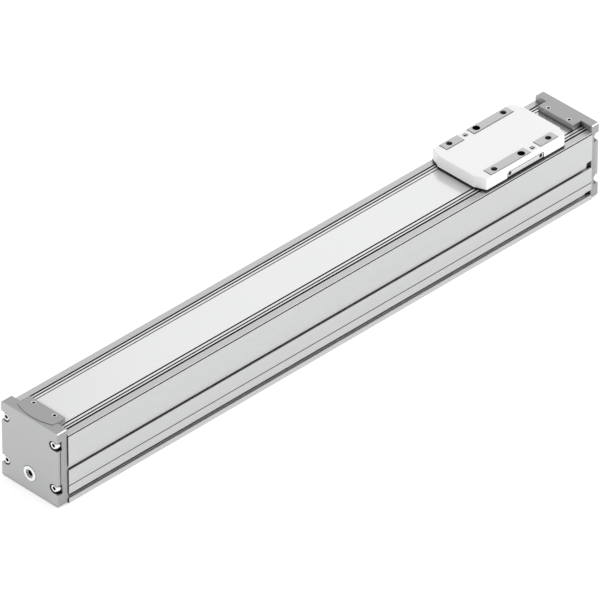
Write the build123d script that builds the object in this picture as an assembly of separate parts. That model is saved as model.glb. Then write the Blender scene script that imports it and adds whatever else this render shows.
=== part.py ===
"""Ball-screw linear axis with an extruded body, a covered slide and a flat cover strip.

Millimetres. X runs along the axis towards the drive end, Y is across it and Z is up.
The origin is the centre of the body's underside. The slide stands at the drive end of its stroke.
"""
from build123d import *
import math
import os

# Travel and the slide's outside
stroke = 400.0
end_gap = 15.5
stop_reserve = 2.0
screw_lead = 12.0
slide_length = 90.0
slide_width = 56.2
slide_nose_width = 38.4
slide_nose_length = 3.9

# Extruded body
profile_width = 60.0
profile_height = 60.0
profile_edge_radius = 0.5
floor_thickness = 7.0
wall_thickness = 9.4
pocket_depth = 3.8
cavity_corner_radius = 1.5
edge_line_drop = 0.9
edge_line_width = 0.8
edge_line_depth = 0.8
side_line_height = 15.4
side_line_width = 0.75
side_line_depth = 0.9
chamber_width = 3.8
chamber_wall = 2.6
lower_chamber_bottom = 19.4
lower_chamber_height = 5.2
upper_chamber_bottom = 37.0
upper_chamber_top_drop = 12.5

# Slots along both sides of the body, and the notches where nuts go in at the drive end
clamp_slot_height = 6.2
clamp_slot_opening = 3.8
clamp_slot_lip = 1.5
clamp_slot_room_height = 6.2
clamp_slot_room_depth = 3.0
clamp_notch_length = 7.5
clamp_notch_height = 4.7
sensor_slot_height = 29.8
sensor_slot_opening = 1.6
sensor_slot_lip = 1.3
sensor_slot_room_height = 4.6
sensor_slot_room_depth = 2.6
sensor_slope_height = 4.1
sensor_slope_depth = 0.9
sensor_notch_length = 5.7
sensor_notch_height = 6.5

# Strip and the grooved plate that carries it
strip_width = 34.6
strip_thickness = 0.3
carrier_width = 45.4
carrier_thickness = 1.5
carrier_groove_offset = 20.85
carrier_groove_width = 1.0
carrier_groove_depth = 0.9
strip_groove_width = 1.0

# Running clearances
side_clearance = 0.25
height_clearance = 0.3
strip_clearance = 0.55
guide_clearance = 0.25
screw_running_clearance = 0.05
seal_clearance = 0.2
hole_clearance = 0.15
thread_fit = 0.025
pocket_fit = 0.02
collar_clearance = 0.5

# End caps
cap_side_inset = 0.9
cap_foot_gap = 0.7
cap_rise = 5.3
idle_cap_thickness = 10.0
drive_cap_thickness = 7.6
cap_edge_radius = 1.0
cap_relief_width = 3.4
cap_relief_depth = 0.5
tongue_length = 8.5
tongue_width = 36.0
jaw_width = 35.0
crest_height = 0.4
crest_radius = 45.8
crest_width = 36.8
crest_margin = 2.3

# Screws that hold the caps and the strip
cap_screw_side_inset = 5.6
cap_screw_low_height = 15.2
cap_screw_top_drop = 6.7
cap_screw_size = 4.0
cap_screw_head_diameter = 7.0
cap_screw_head_height = 4.0
cap_screw_socket = 3.0
cap_screw_length = 20.0
cap_counterbore_diameter = 7.7
cap_counterbore_depth = 4.6
tongue_screw_size = 2.5
tongue_screw_head_diameter = 4.5
tongue_screw_socket = 1.5
tongue_screw_length = 9.0
tongue_screw_offset = 5.1
tongue_screw_spacing = 21.6
screw_head_sink = 0.1

# Port and plug in the idle cap
port_height = 16.2
port_diameter = 9.7
port_face_diameter = 12.8
port_face_depth = 1.0
plug_head_diameter = 12.2
plug_head_thickness = 1.6
plug_recess_diameter = 7.2
plug_recess_depth = 1.2
plug_socket = 5.0
plug_socket_depth = 3.4
plug_length = 6.5

# Guide rail and its carriages
rail_width = 15.0
rail_height = 10.0
rail_groove_depth = 1.0
rail_groove_low = 3.2
rail_groove_high = 7.0
rail_end_gap = 8.0
rail_screw_pitch = 60.0
rail_screw_size = 4.0
rail_screw_head_diameter = 7.0
rail_screw_head_height = 4.0
rail_screw_length = 9.0
rail_counterbore_diameter = 7.6
rail_counterbore_depth = 4.6
carriage_width = 34.0
carriage_length = 28.0
carriage_pitch = 44.0
carriage_foot_gap = 3.6
carriage_back_thickness = 6.0
carriage_seal_thickness = 3.0
carriage_seal_inset = 0.5
carriage_screw_size = 3.0
carriage_screw_head_diameter = 5.5
carriage_screw_head_height = 3.0
carriage_screw_length = 9.0
carriage_screw_seat = 5.0
carriage_screw_spacing_x = 16.0
carriage_screw_spacing_y = 29.6
carriage_counterbore_diameter = 5.8

# Nut and the block that holds it
housing_length = 80.0
housing_side_gap = 1.1
nut_flange_gap = 0.75
nut_flange_step = 5.0
nut_flange_thickness = 6.0
nut_length = 40.0
nut_screw_edge = 3.0
nut_screw_size = 3.0
nut_screw_head_diameter = 5.5
nut_screw_head_height = 3.0
nut_screw_length = 10.0
nut_counterbore_diameter = 5.8
nut_counterbore_depth = 3.2
nut_screw_first_angle = 45.0
magnet_diameter = 6.0
magnet_thickness = 3.0

# Box section that passes round the strip
yoke_length = 76.0
yoke_arm_thickness = 1.1
yoke_floor_thickness = 1.8
yoke_top_thickness = 2.05
yoke_screw_size = 3.0
yoke_screw_head_diameter = 5.5
yoke_screw_length = 7.0
yoke_screw_spacing_x = 56.0
yoke_screw_spacing_y = 20.0
yoke_access_diameter = 6.4

# Slide table under the white cover
table_thickness = 6.9
table_skirt_depth = 1.4
table_cover_gap = 0.1
table_skirt_clearance = 0.3
pad_rise = 0.45
pad_width = 7.9
pad_end_margin = 9.8
pad_long_overrun = 6.3
pad_short_start = 17.0
table_screw_size = 3.0
table_screw_head_diameter = 5.5
table_screw_head_height = 3.0
table_screw_length = 4.8
table_screw_seat = 3.0
table_screw_spacing_x = 32.0
table_screw_spacing_y = 24.0
table_counterbore_diameter = 6.0
slide_hole_margin = 16.5
slide_hole_spacing_y = 46.4
slide_hole_diameter = 5.0
slide_hole_depth = 8.0
slide_centring_diameter = 6.0
slide_centring_depth = 6.0

# White cover of the slide
cover_ground_gap = 1.3
cover_wall = 1.1
cover_top_thickness = 1.8
cover_edge_radius = 0.9
cover_corner_radius = 1.2
cover_window_gap = 0.25
cover_screw_size = 2.5
cover_screw_head_diameter = 4.6
cover_screw_boss_diameter = 5.6
cover_screw_length = 7.0
cover_screw_sink = 0.3
cross_recess_width = 0.8
cross_recess_length = 2.8
cross_recess_depth = 1.1

# Small plates on the sides of the slide
side_plate_length = 38.0
side_plate_height = 4.9
side_plate_thickness = 0.8
side_plate_radius = 1.4
side_plate_gap = 0.4
side_plate_screw_spacing = 32.6
side_plate_screw_size = 2.0
side_plate_screw_head_diameter = 3.4
side_plate_screw_length = 5.0
side_plate_screw_drop = 2.1

# Ball screw, bearings and bearing seats
screw_diameter = 12.0
collar_diameter = 14.0
collar_length = 4.0
drive_journal_diameter = 10.0
drive_neck_diameter = 9.0
drive_shaft_diameter = 8.0
drive_shaft_length = 20.0
drive_bearing_diameter = 26.0
drive_bearing_width = 8.0
idle_journal_diameter = 7.0
idle_bearing_diameter = 19.0
idle_bearing_width = 6.0
idle_chamber_diameter = 14.0
idle_chamber_length = 4.0
idle_journal_overhang = 2.5
bearing_ring_wall = 2.6
bearing_shield_thickness = 0.6
boss_overlap = 0.25
clamp_ring_thickness = 3.0
lock_nut_diameter = 18.0
lock_nut_thickness = 4.5
lock_nut_chamber_diameter = 20.0
lock_nut_chamber_length = 5.5
drive_hole_clearance = 0.3
retaining_ring_diameter = 11.0
retaining_ring_thickness = 0.8
buffer_thickness = 3.0
buffer_inset = 0.3
buffer_ring_width = 3.3

# Motor seat on the drive cap
motor_recess_diameter = 36.0
motor_recess_depth = 1.6
motor_hole_spacing = 32.0
motor_hole_diameter = 4.0
motor_hole_depth = 6.0

# Sizes worked out from the ones above
profile_half = profile_width / 2
slide_half = slide_length / 2
profile_length = stroke + slide_length + 2 * (tongue_length + end_gap)
end_face = profile_length / 2
slide_x = end_face - tongue_length - end_gap - slide_half
cap_width = profile_width - 2 * cap_side_inset
cavity_half_width = profile_half - wall_thickness
housing_width = 2 * (cavity_half_width - housing_side_gap)
pocket_half_width = carrier_width / 2 + yoke_arm_thickness + 2 * side_clearance
shoulder_height = profile_height - pocket_depth
yoke_half_width = carrier_width / 2 + side_clearance + yoke_arm_thickness
yoke_bottom = shoulder_height + height_clearance
yoke_floor_top = yoke_bottom + yoke_floor_thickness
carrier_bottom = yoke_floor_top + height_clearance
carrier_top = carrier_bottom + carrier_thickness
strip_top = carrier_top + strip_thickness
yoke_ceiling = strip_top + strip_clearance
table_bottom = yoke_ceiling + yoke_top_thickness
table_top = table_bottom + table_thickness
cover_bottom = profile_height + cover_ground_gap
cover_top = table_top + cover_top_thickness
pad_top = cover_top + pad_rise
cap_top = profile_height + cap_rise
cap_screw_y = profile_half - cap_screw_side_inset
cap_screw_heights = (cap_screw_low_height, profile_height - cap_screw_top_drop)
rail_length = profile_length - 2 * rail_end_gap
carriage_bottom = floor_thickness + carriage_foot_gap
carriage_top = floor_thickness + rail_height + carriage_back_thickness
nut_room = yoke_bottom - carriage_top
screw_height = carriage_top + nut_room / 2
nut_flange_diameter = nut_room - 2 * nut_flange_gap
nut_diameter = nut_flange_diameter - 2 * nut_flange_step
boss_diameter = nut_room + 2 * boss_overlap
housing_half = housing_length / 2
boss_length = end_gap + tongue_length + slide_half - housing_half - stop_reserve - buffer_thickness
boss_face = end_face - boss_length
table_half_width = slide_width / 2 - cover_wall - table_cover_gap
slide_hole_x = slide_half - slide_hole_margin
slide_hole_y = slide_hole_spacing_y / 2
pad_outer_x = slide_half - pad_end_margin
cover_screw_x = (pad_long_overrun + pad_short_start) / 2
SIDES = (-1, 1)


def box_between(x0, x1, y0, y1, z0, z1):
    """Box from one corner to the opposite one."""
    centre = Pos((x0 + x1) / 2, (y0 + y1) / 2, (z0 + z1) / 2)
    return centre * Box(abs(x1 - x0), abs(y1 - y0), abs(z1 - z0))


def rod(diameter, length):
    """Cylinder that stands on the XY plane."""
    return extrude(Circle(diameter / 2), amount=length)


def rod_along_x(diameter, x0, x1, y=0.0, z=screw_height):
    """Cylinder along X from x0 to x1."""
    return Plane(origin=(min(x0, x1), y, z), z_dir=(1, 0, 0)) * rod(diameter, abs(x1 - x0))


def tube_along_x(outer, inner, x0, x1):
    """Ring round the screw's axis."""
    return rod_along_x(outer, x0, x1) - rod_along_x(inner, x0, x1)


def facing(x, y, z, direction):
    """Plane whose Z axis points out of a screw's head."""
    return Plane(origin=(x, y, z), z_dir=direction)


def socket_cut(across_flats, depth):
    """Hexagon socket below the XY plane."""
    hexagon = RegularPolygon(across_flats / 2, 6, major_radius=False)
    return extrude(hexagon, amount=-depth)


def socket_screw(size, head_diameter, head_height, length, socket):
    """Cylinder-head screw. The head's underside is on the XY plane and the shank goes down."""
    head = rod(head_diameter, head_height)
    rim = head.edges().filter_by(GeomType.CIRCLE).sort_by(Axis.Z)[-1]
    head = chamfer(rim, head_height * 0.08)
    shank = Pos(0, 0, -length) * rod(size, length)
    return head + shank - Pos(0, 0, head_height) * socket_cut(socket, head_height * 0.5)


def flat_head_screw(size, head_diameter, length, drive_cut):
    """Countersunk screw. The top of the head is on the XY plane."""
    cone_depth = (head_diameter - size) / 2
    outline = Polyline(
        (0, 0),
        (head_diameter / 2, 0),
        (size / 2, -cone_depth),
        (size / 2, -length),
        (0, -length),
        close=True,
    )
    body = revolve(Plane.XZ * make_face(outline), axis=Axis.Z)
    return body - drive_cut


def flat_head_hole(size, head_diameter, depth, clearance):
    """Hole for a countersunk screw, whose cone is the screw's own and runs on above it."""
    cone_depth = (head_diameter - size) / 2
    top = 1.0
    outline = Polyline(
        (0, top),
        (head_diameter / 2 + top, top),
        (size / 2 + clearance, clearance - cone_depth),
        (size / 2 + clearance, -depth),
        (0, -depth),
        close=True,
    )
    return revolve(Plane.XZ * make_face(outline), axis=Axis.Z)


def cross_cut():
    """Cross recess below the XY plane."""
    arm = Box(cross_recess_length, cross_recess_width, 2 * cross_recess_depth)
    return arm + Rot(0, 0, 90) * arm


def both_sides(sketch):
    """A sketch and its mirror image across the middle of the body."""
    return sketch + mirror(sketch, about=Plane.YZ)


def strip_rectangle(y0, y1, z0, z1):
    """Rectangle in a section drawn with Y to the right and Z up."""
    return Pos((y0 + y1) / 2, (z0 + z1) / 2) * Rectangle(abs(y1 - y0), abs(z1 - z0))


def side_slot(height, opening, lip, room_height, room_depth):
    """Undercut slot in the side of the body."""
    mouth_y = profile_half - lip
    mouth = strip_rectangle(mouth_y, profile_half + 1, height - opening / 2, height + opening / 2)
    room = strip_rectangle(
        mouth_y - room_depth, mouth_y, height - room_height / 2, height + room_height / 2
    )
    return mouth + room


def sensor_slope():
    """Slanted face that leads down into the sensor slot."""
    low = sensor_slot_height + sensor_slot_opening / 2
    outline = Polyline(
        (profile_half + 1, low),
        (profile_half - sensor_slope_depth, low),
        (profile_half, low + sensor_slope_height),
        (profile_half + 1, low + sensor_slope_height),
        close=True,
    )
    return make_face(outline)


def side_groove(height, width, depth):
    """Shallow line in the side of the body."""
    return strip_rectangle(
        profile_half - depth, profile_half + 1, height - width / 2, height + width / 2
    )


def wall_chamber(bottom, height):
    """Closed chamber inside the side wall."""
    outer = profile_half - chamber_wall
    chamber = strip_rectangle(outer - chamber_width, outer, bottom, bottom + height)
    return fillet(chamber.vertices(), 0.8)


def profile_section():
    """Section of the extruded body."""
    body = strip_rectangle(-profile_half, profile_half, 0, profile_height)
    body = fillet(body.vertices().sort_by(Axis.Y)[-2:], profile_edge_radius)
    cavity = strip_rectangle(-cavity_half_width, cavity_half_width, floor_thickness, shoulder_height)
    cavity = fillet(cavity.vertices().sort_by(Axis.Y)[:2], cavity_corner_radius)
    pocket = strip_rectangle(
        -pocket_half_width, pocket_half_width, shoulder_height, profile_height + 1
    )
    section = body - cavity - pocket
    side = side_slot(
        clamp_slot_height,
        clamp_slot_opening,
        clamp_slot_lip,
        clamp_slot_room_height,
        clamp_slot_room_depth,
    )
    side += side_slot(
        sensor_slot_height,
        sensor_slot_opening,
        sensor_slot_lip,
        sensor_slot_room_height,
        sensor_slot_room_depth,
    )
    side += sensor_slope()
    side += side_groove(side_line_height, side_line_width, side_line_depth)
    side += side_groove(profile_height - edge_line_drop, edge_line_width, edge_line_depth)
    side += wall_chamber(lower_chamber_bottom, lower_chamber_height)
    upper_top = profile_height - upper_chamber_top_drop
    side += wall_chamber(upper_chamber_bottom, upper_top - upper_chamber_bottom)
    for height in cap_screw_heights:
        side += Pos(cap_screw_y, height) * Circle(cap_screw_size / 2 + thread_fit)
    return section - both_sides(side)


def rail_screw_places():
    """X of each rail screw, spread evenly about the middle."""
    count = int((rail_length - rail_screw_head_diameter) // rail_screw_pitch) + 1
    first = -rail_screw_pitch * (count - 1) / 2
    return [first + index * rail_screw_pitch for index in range(count)]


def make_profile():
    """Extruded body with the insertion notches and the rail's screw holes."""
    body = extrude(Plane.YZ.offset(-end_face) * profile_section(), amount=profile_length)
    for side in SIDES:
        sensor_low = sensor_slot_height - sensor_slot_opening / 2
        sensor_inner = profile_half - sensor_slot_lip - sensor_slot_room_depth
        body -= box_between(
            end_face - sensor_notch_length,
            end_face + 1,
            side * sensor_inner,
            side * (profile_half + 1),
            sensor_low,
            sensor_low + sensor_notch_height,
        )
        clamp_low = clamp_slot_height - clamp_slot_opening / 2
        clamp_inner = profile_half - clamp_slot_lip - clamp_slot_room_depth
        body -= box_between(
            end_face - clamp_notch_length,
            end_face + 1,
            side * clamp_inner,
            side * (profile_half + 1),
            clamp_low,
            clamp_low + clamp_notch_height,
        )
    thread = rod(rail_screw_size + 2 * thread_fit, floor_thickness - 1)
    for x in rail_screw_places():
        body -= Pos(x, 0, 1) * thread
    return body


def tongue_screw_places():
    """Y of the two screws in each tongue."""
    return [side * tongue_screw_spacing / 2 for side in SIDES]


def carrier_groove(inner, width):
    """Groove in the carrier's top, that starts at inner from the middle."""
    floor = carrier_top - carrier_groove_depth
    return strip_rectangle(inner, inner + width, floor, carrier_top + 1)


def make_strip_carrier():
    """Plate between the slide's arms, with a groove along each of the strip's edges and one outside it."""
    section = strip_rectangle(-carrier_width / 2, carrier_width / 2, carrier_bottom, carrier_top)
    first = carrier_groove_offset - carrier_groove_width / 2
    section -= both_sides(carrier_groove(first, carrier_groove_width))
    section -= both_sides(carrier_groove(strip_width / 2, strip_groove_width))
    plate = extrude(Plane.YZ.offset(-end_face) * section, amount=profile_length)
    return plate - strip_screw_holes()


def make_cover_strip():
    """Thin steel strip on the carrier."""
    section = strip_rectangle(-strip_width / 2, strip_width / 2, carrier_top, strip_top)
    strip = extrude(Plane.YZ.offset(-end_face) * section, amount=profile_length)
    return strip - strip_screw_holes()


def strip_screw_holes():
    """Clearance holes for the tongue screws at both ends."""
    hole = rod(tongue_screw_size + 2 * hole_clearance, carrier_thickness + strip_thickness)
    holes = []
    for end in SIDES:
        for y in tongue_screw_places():
            holes.append(Pos(end * (end_face - tongue_screw_offset), y, carrier_bottom) * hole)
    return holes


def cap_plate(thickness):
    """Outer plate of an end cap, with its side reliefs. Its inner face is at X = 0."""
    half = cap_width / 2
    plate = box_between(0, thickness, -half, half, cap_foot_gap, cap_top)
    plate = fillet(plate.edges().filter_by(Axis.X), cap_edge_radius)
    relief_low = cap_screw_heights[0] + cap_counterbore_diameter / 2
    relief_high = cap_screw_heights[1] - cap_counterbore_diameter / 2
    for side in SIDES:
        plate -= box_between(
            thickness - cap_relief_width,
            thickness + 1,
            side * (half - cap_relief_depth),
            side * (half + 1),
            relief_low,
            relief_high,
        )
    return plate


def cap_screw_recess(thickness, side, height):
    """Counterbore that is open to the side, with its clearance hole."""
    radius = cap_counterbore_diameter / 2
    floor = thickness - cap_counterbore_depth
    recess = rod_along_x(cap_counterbore_diameter, floor, thickness + 1, side * cap_screw_y, height)
    recess += box_between(
        floor,
        thickness + 1,
        side * cap_screw_y,
        side * (cap_width / 2 + 1),
        height - radius,
        height + radius,
    )
    hole = cap_screw_size + 2 * hole_clearance
    return recess + rod_along_x(hole, -1, thickness, side * cap_screw_y, height)


def cap_body(thickness):
    """Plate, tongue, jaw and bearing boss of an end cap, which reaches into the body along -X."""
    cap = cap_plate(thickness)
    cap += box_between(-tongue_length, 0, -tongue_width / 2, tongue_width / 2, strip_top, cap_top)
    cap += box_between(
        -tongue_length, 0, -jaw_width / 2, jaw_width / 2, screw_height, carrier_bottom
    )
    cap += rod_along_x(boss_diameter, -boss_length, 0)
    for side in SIDES:
        for height in cap_screw_heights:
            cap -= cap_screw_recess(thickness, side, height)
    return cap


def tongue_holes(top):
    """Holes for the two tongue screws, down into the jaw."""
    holes = []
    head = tongue_screw_head_diameter
    hole = flat_head_hole(tongue_screw_size, head, tongue_screw_length + 0.5, thread_fit)
    for y in tongue_screw_places():
        holes.append(Pos(-tongue_screw_offset, y, top - screw_head_sink) * hole)
    return holes


def make_drive_end_cap():
    """Cap at the motor end, with the bearing pair's bore and the motor's seat."""
    cap = cap_body(drive_cap_thickness) - tongue_holes(cap_top)
    bore_depth = clamp_ring_thickness + 2 * drive_bearing_width
    bore_end = bore_depth - boss_length
    cap -= rod_along_x(drive_bearing_diameter + 2 * pocket_fit, -boss_length - 1, bore_end)
    cap -= rod_along_x(lock_nut_chamber_diameter, bore_end - 1, bore_end + lock_nut_chamber_length)
    hole = drive_neck_diameter + 2 * drive_hole_clearance
    cap -= rod_along_x(hole, 0, drive_cap_thickness + 1)
    cap -= rod_along_x(
        motor_recess_diameter, drive_cap_thickness - motor_recess_depth, drive_cap_thickness + 1
    )
    hole_end = drive_cap_thickness - motor_hole_depth
    for side in SIDES:
        for step in SIDES:
            y = side * motor_hole_spacing / 2
            z = screw_height + step * motor_hole_spacing / 2
            cap -= rod_along_x(motor_hole_diameter, hole_end, drive_cap_thickness + 1, y, z)
    return Pos(end_face, 0, 0) * cap


def idle_crest():
    """Low raised field on top of the idle cap, whose outer edge is an arc."""
    tip = idle_cap_thickness - crest_margin
    field = box_between(
        -tongue_length, tip, -crest_width / 2, crest_width / 2, cap_top, cap_top + crest_height
    )
    disc = Pos(tip - crest_radius, 0, cap_top) * rod(2 * crest_radius, crest_height)
    return field & disc


def make_idle_end_cap():
    """Cap at the idle end, with the tail bearing's pocket and the port."""
    cap = cap_body(idle_cap_thickness) + idle_crest()
    cap -= tongue_holes(cap_top + crest_height)
    pocket_end = idle_bearing_width - boss_length
    cap -= rod_along_x(idle_bearing_diameter + 2 * pocket_fit, -boss_length - 1, pocket_end)
    cap -= rod_along_x(idle_chamber_diameter, pocket_end - 1, pocket_end + idle_chamber_length)
    cap -= rod_along_x(port_diameter + 2 * thread_fit, -1, idle_cap_thickness + 1, 0, port_height)
    face = idle_cap_thickness - port_face_depth
    cap -= rod_along_x(port_face_diameter, face, idle_cap_thickness + 1, 0, port_height)
    return Pos(-end_face, 0, 0) * mirror(cap, about=Plane.YZ)


def make_cap_screws(end, thickness):
    """Four socket screws through one cap into the body's round channels."""
    screw = socket_screw(
        cap_screw_size,
        cap_screw_head_diameter,
        cap_screw_head_height,
        cap_screw_length,
        cap_screw_socket,
    )
    seat = end * (end_face + thickness - cap_counterbore_depth)
    screws = []
    for side in SIDES:
        for height in cap_screw_heights:
            screws.append(facing(seat, side * cap_screw_y, height, (end, 0, 0)) * screw)
    return screws


def make_tongue_screws(end, top):
    """Two small screws that clamp the strip's end between tongue and jaw."""
    socket = socket_cut(tongue_screw_socket, 1.2)
    head = tongue_screw_head_diameter
    screw = flat_head_screw(tongue_screw_size, head, tongue_screw_length, socket)
    x = end * (end_face - tongue_screw_offset)
    return [Pos(x, y, top - screw_head_sink) * screw for y in tongue_screw_places()]


def make_vent_plug():
    """Plug with a flange and a hexagon socket, in the port of the idle cap."""
    plug = rod(plug_head_diameter, plug_head_thickness)
    rim = plug.edges().filter_by(GeomType.CIRCLE).sort_by(Axis.Z)[-1]
    plug = chamfer(rim, 0.3)
    plug += Pos(0, 0, -plug_length) * rod(port_diameter, plug_length)
    floor = plug_head_thickness - plug_recess_depth
    plug -= Pos(0, 0, floor) * rod(plug_recess_diameter, plug_recess_depth)
    plug -= Pos(0, 0, floor) * socket_cut(plug_socket, plug_socket_depth)
    seat = -(end_face + idle_cap_thickness - port_face_depth)
    return facing(seat, 0, port_height, (-1, 0, 0)) * plug


def rail_section():
    """Section of the guide rail, with a ball groove in each side."""
    half = rail_width / 2
    waist = half - rail_groove_depth
    outline = Polyline(
        (-half, 0),
        (half, 0),
        (half, rail_groove_low),
        (waist, rail_groove_low + rail_groove_depth),
        (waist, rail_groove_high - rail_groove_depth),
        (half, rail_groove_high),
        (half, rail_height),
        (-half, rail_height),
        (-half, rail_groove_high),
        (-waist, rail_groove_high - rail_groove_depth),
        (-waist, rail_groove_low + rail_groove_depth),
        (-half, rail_groove_low),
        close=True,
    )
    return Pos(0, floor_thickness) * make_face(outline)


def make_guide_rail():
    """Steel rail on the floor of the body."""
    rail = extrude(Plane.YZ.offset(-rail_length / 2) * rail_section(), amount=rail_length)
    top = floor_thickness + rail_height
    for x in rail_screw_places():
        rail -= Pos(x, 0, floor_thickness) * rod(rail_screw_size + 2 * hole_clearance, rail_height)
        rail -= Pos(x, 0, top - rail_counterbore_depth) * rod(rail_counterbore_diameter, rail_height)
    return rail


def make_rail_screws():
    """Screws that hold the rail to the floor."""
    screw = socket_screw(
        rail_screw_size,
        rail_screw_head_diameter,
        rail_screw_head_height,
        rail_screw_length,
        cap_screw_socket,
    )
    seat = floor_thickness + rail_height - rail_counterbore_depth
    return [Pos(x, 0, seat) * screw for x in rail_screw_places()]


def carriage_section(inset):
    """Section of a carriage round the rail, drawn in by an inset."""
    half = carriage_width / 2 - inset
    block = strip_rectangle(-half, half, carriage_bottom + inset, carriage_top - inset)
    room = offset(rail_section(), amount=guide_clearance, kind=Kind.INTERSECTION)
    return block - room


def carriage_centres():
    """X of the two carriages."""
    return [slide_x + side * carriage_pitch / 2 for side in SIDES]


def carriage_screw_places():
    """X and Y of the eight screws that hold the carriages."""
    places = []
    for centre in carriage_centres():
        for dx in SIDES:
            for dy in SIDES:
                x = centre + dx * carriage_screw_spacing_x / 2
                places.append((x, dy * carriage_screw_spacing_y / 2))
    return places


def make_guide_carriages():
    """Two steel carriage bodies."""
    carriages = []
    thread = rod(carriage_screw_size + 2 * thread_fit, carriage_back_thickness)
    for centre in carriage_centres():
        plane = Plane.YZ.offset(centre - carriage_length / 2)
        block = extrude(plane * carriage_section(0), amount=carriage_length)
        for x, y in carriage_screw_places():
            if abs(x - centre) < carriage_length / 2:
                block -= Pos(x, y, carriage_top - carriage_back_thickness) * thread
        carriages.append(block)
    return carriages


def make_carriage_end_seals():
    """Plastic end pieces of the carriages."""
    seals = []
    for centre in carriage_centres():
        for side in SIDES:
            middle = centre + side * (carriage_length + carriage_seal_thickness) / 2
            plane = Plane.YZ.offset(middle - carriage_seal_thickness / 2)
            seals.append(
                extrude(plane * carriage_section(carriage_seal_inset), amount=carriage_seal_thickness)
            )
    return seals


def make_carriage_screws():
    """Screws from the nut housing down into the carriages."""
    screw = socket_screw(
        carriage_screw_size,
        carriage_screw_head_diameter,
        carriage_screw_head_height,
        carriage_screw_length,
        2.5,
    )
    return [Pos(x, y, carriage_top + carriage_screw_seat) * screw for x, y in carriage_screw_places()]


def nut_screw_places():
    """Y and Z of the four screws in the nut's flange."""
    places = []
    for step in range(4):
        angle = math.radians(nut_screw_first_angle + 90 * step)
        radius = nut_flange_diameter / 2 - nut_screw_edge
        places.append((radius * math.cos(angle), screw_height + radius * math.sin(angle)))
    return places


def yoke_screw_places():
    """X and Y of the four screws that hold the yoke to the nut housing."""
    half_x = yoke_screw_spacing_x / 2
    half_y = yoke_screw_spacing_y / 2
    return [(slide_x + dx * half_x, dy * half_y) for dx in SIDES for dy in SIDES]


def table_screw_places():
    """X and Y of the four screws that hold the table to the yoke."""
    half_x = table_screw_spacing_x / 2
    half_y = table_screw_spacing_y / 2
    return [(slide_x + dx * half_x, dy * half_y) for dx in SIDES for dy in SIDES]


def make_nut_housing():
    """Block between the carriages and the yoke, with the nut in its bore."""
    flange_face = slide_x - housing_half + nut_flange_thickness
    half = housing_width / 2
    block = box_between(flange_face, slide_x + housing_half, -half, half, carriage_top, yoke_bottom)
    block -= rod_along_x(nut_diameter + 2 * pocket_fit, flange_face - 1, slide_x + housing_half + 1)
    for y, z in nut_screw_places():
        depth = nut_screw_length
        block -= rod_along_x(nut_screw_size + 2 * thread_fit, flange_face - 1, flange_face + depth, y, z)
    seat = carriage_top + carriage_screw_seat
    for x, y in carriage_screw_places():
        block -= Pos(x, y, seat) * rod(carriage_counterbore_diameter, yoke_bottom - seat)
        hole = rod(carriage_screw_size + 2 * hole_clearance, carriage_screw_seat)
        block -= Pos(x, y, carriage_top) * hole
    thread = rod(yoke_screw_size + 2 * thread_fit, yoke_screw_length)
    for x, y in yoke_screw_places():
        block -= Pos(x, y, yoke_bottom - yoke_screw_length) * thread
    for side in SIDES:
        block -= magnet(side, magnet_diameter + 2 * pocket_fit)
    return block


def magnet(side, diameter):
    """Disc in the side of the nut housing at the height of the sensor slot."""
    inner = housing_width / 2 - magnet_thickness
    plane = Plane(origin=(slide_x, side * inner, sensor_slot_height), z_dir=(0, side, 0))
    return plane * rod(diameter, magnet_thickness)


def make_ball_nut():
    """Flanged nut that runs on the screw."""
    start = slide_x - housing_half
    nut = rod_along_x(nut_flange_diameter, start, start + nut_flange_thickness)
    nut += rod_along_x(nut_diameter, start, start + nut_length)
    nut -= rod_along_x(screw_diameter + 2 * screw_running_clearance, start - 1, start + nut_length + 1)
    for y, z in nut_screw_places():
        nut -= rod_along_x(nut_counterbore_diameter, start - 1, start + nut_counterbore_depth, y, z)
        hole = nut_screw_size + 2 * hole_clearance
        nut -= rod_along_x(hole, start, start + nut_flange_thickness, y, z)
    return nut


def make_nut_screws():
    """Four screws through the nut's flange."""
    screw = socket_screw(
        nut_screw_size,
        nut_screw_head_diameter,
        nut_screw_head_height,
        nut_screw_length + nut_flange_thickness - nut_counterbore_depth - 1,
        2.5,
    )
    seat = slide_x - housing_half + nut_counterbore_depth
    return [facing(seat, y, z, (-1, 0, 0)) * screw for y, z in nut_screw_places()]


def make_slide_yoke():
    """Flat steel box section whose hollow lets the strip and its carrier through."""
    inner_half = yoke_half_width - yoke_arm_thickness
    section = strip_rectangle(-yoke_half_width, yoke_half_width, yoke_bottom, table_bottom)
    section -= strip_rectangle(-inner_half, inner_half, yoke_floor_top, yoke_ceiling)
    plane = Plane.YZ.offset(slide_x - yoke_length / 2)
    yoke = extrude(plane * section, amount=yoke_length)
    head = yoke_screw_head_diameter
    countersink = flat_head_hole(yoke_screw_size, head, yoke_screw_length, thread_fit)
    for x, y in yoke_screw_places():
        yoke -= Pos(x, y, yoke_floor_top - screw_head_sink) * countersink
        yoke -= Pos(x, y, yoke_ceiling) * rod(yoke_access_diameter, yoke_top_thickness)
    for x, y in table_screw_places():
        thread = rod(table_screw_size + 2 * thread_fit, yoke_top_thickness)
        yoke -= Pos(x, y, yoke_ceiling) * thread
    return yoke


def make_yoke_screws():
    """Countersunk screws from the yoke's floor into the nut housing."""
    screw = flat_head_screw(
        yoke_screw_size,
        yoke_screw_head_diameter,
        yoke_screw_length,
        socket_cut(2.0, 1.0),
    )
    return [Pos(x, y, yoke_floor_top - screw_head_sink) * screw for x, y in yoke_screw_places()]


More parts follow.
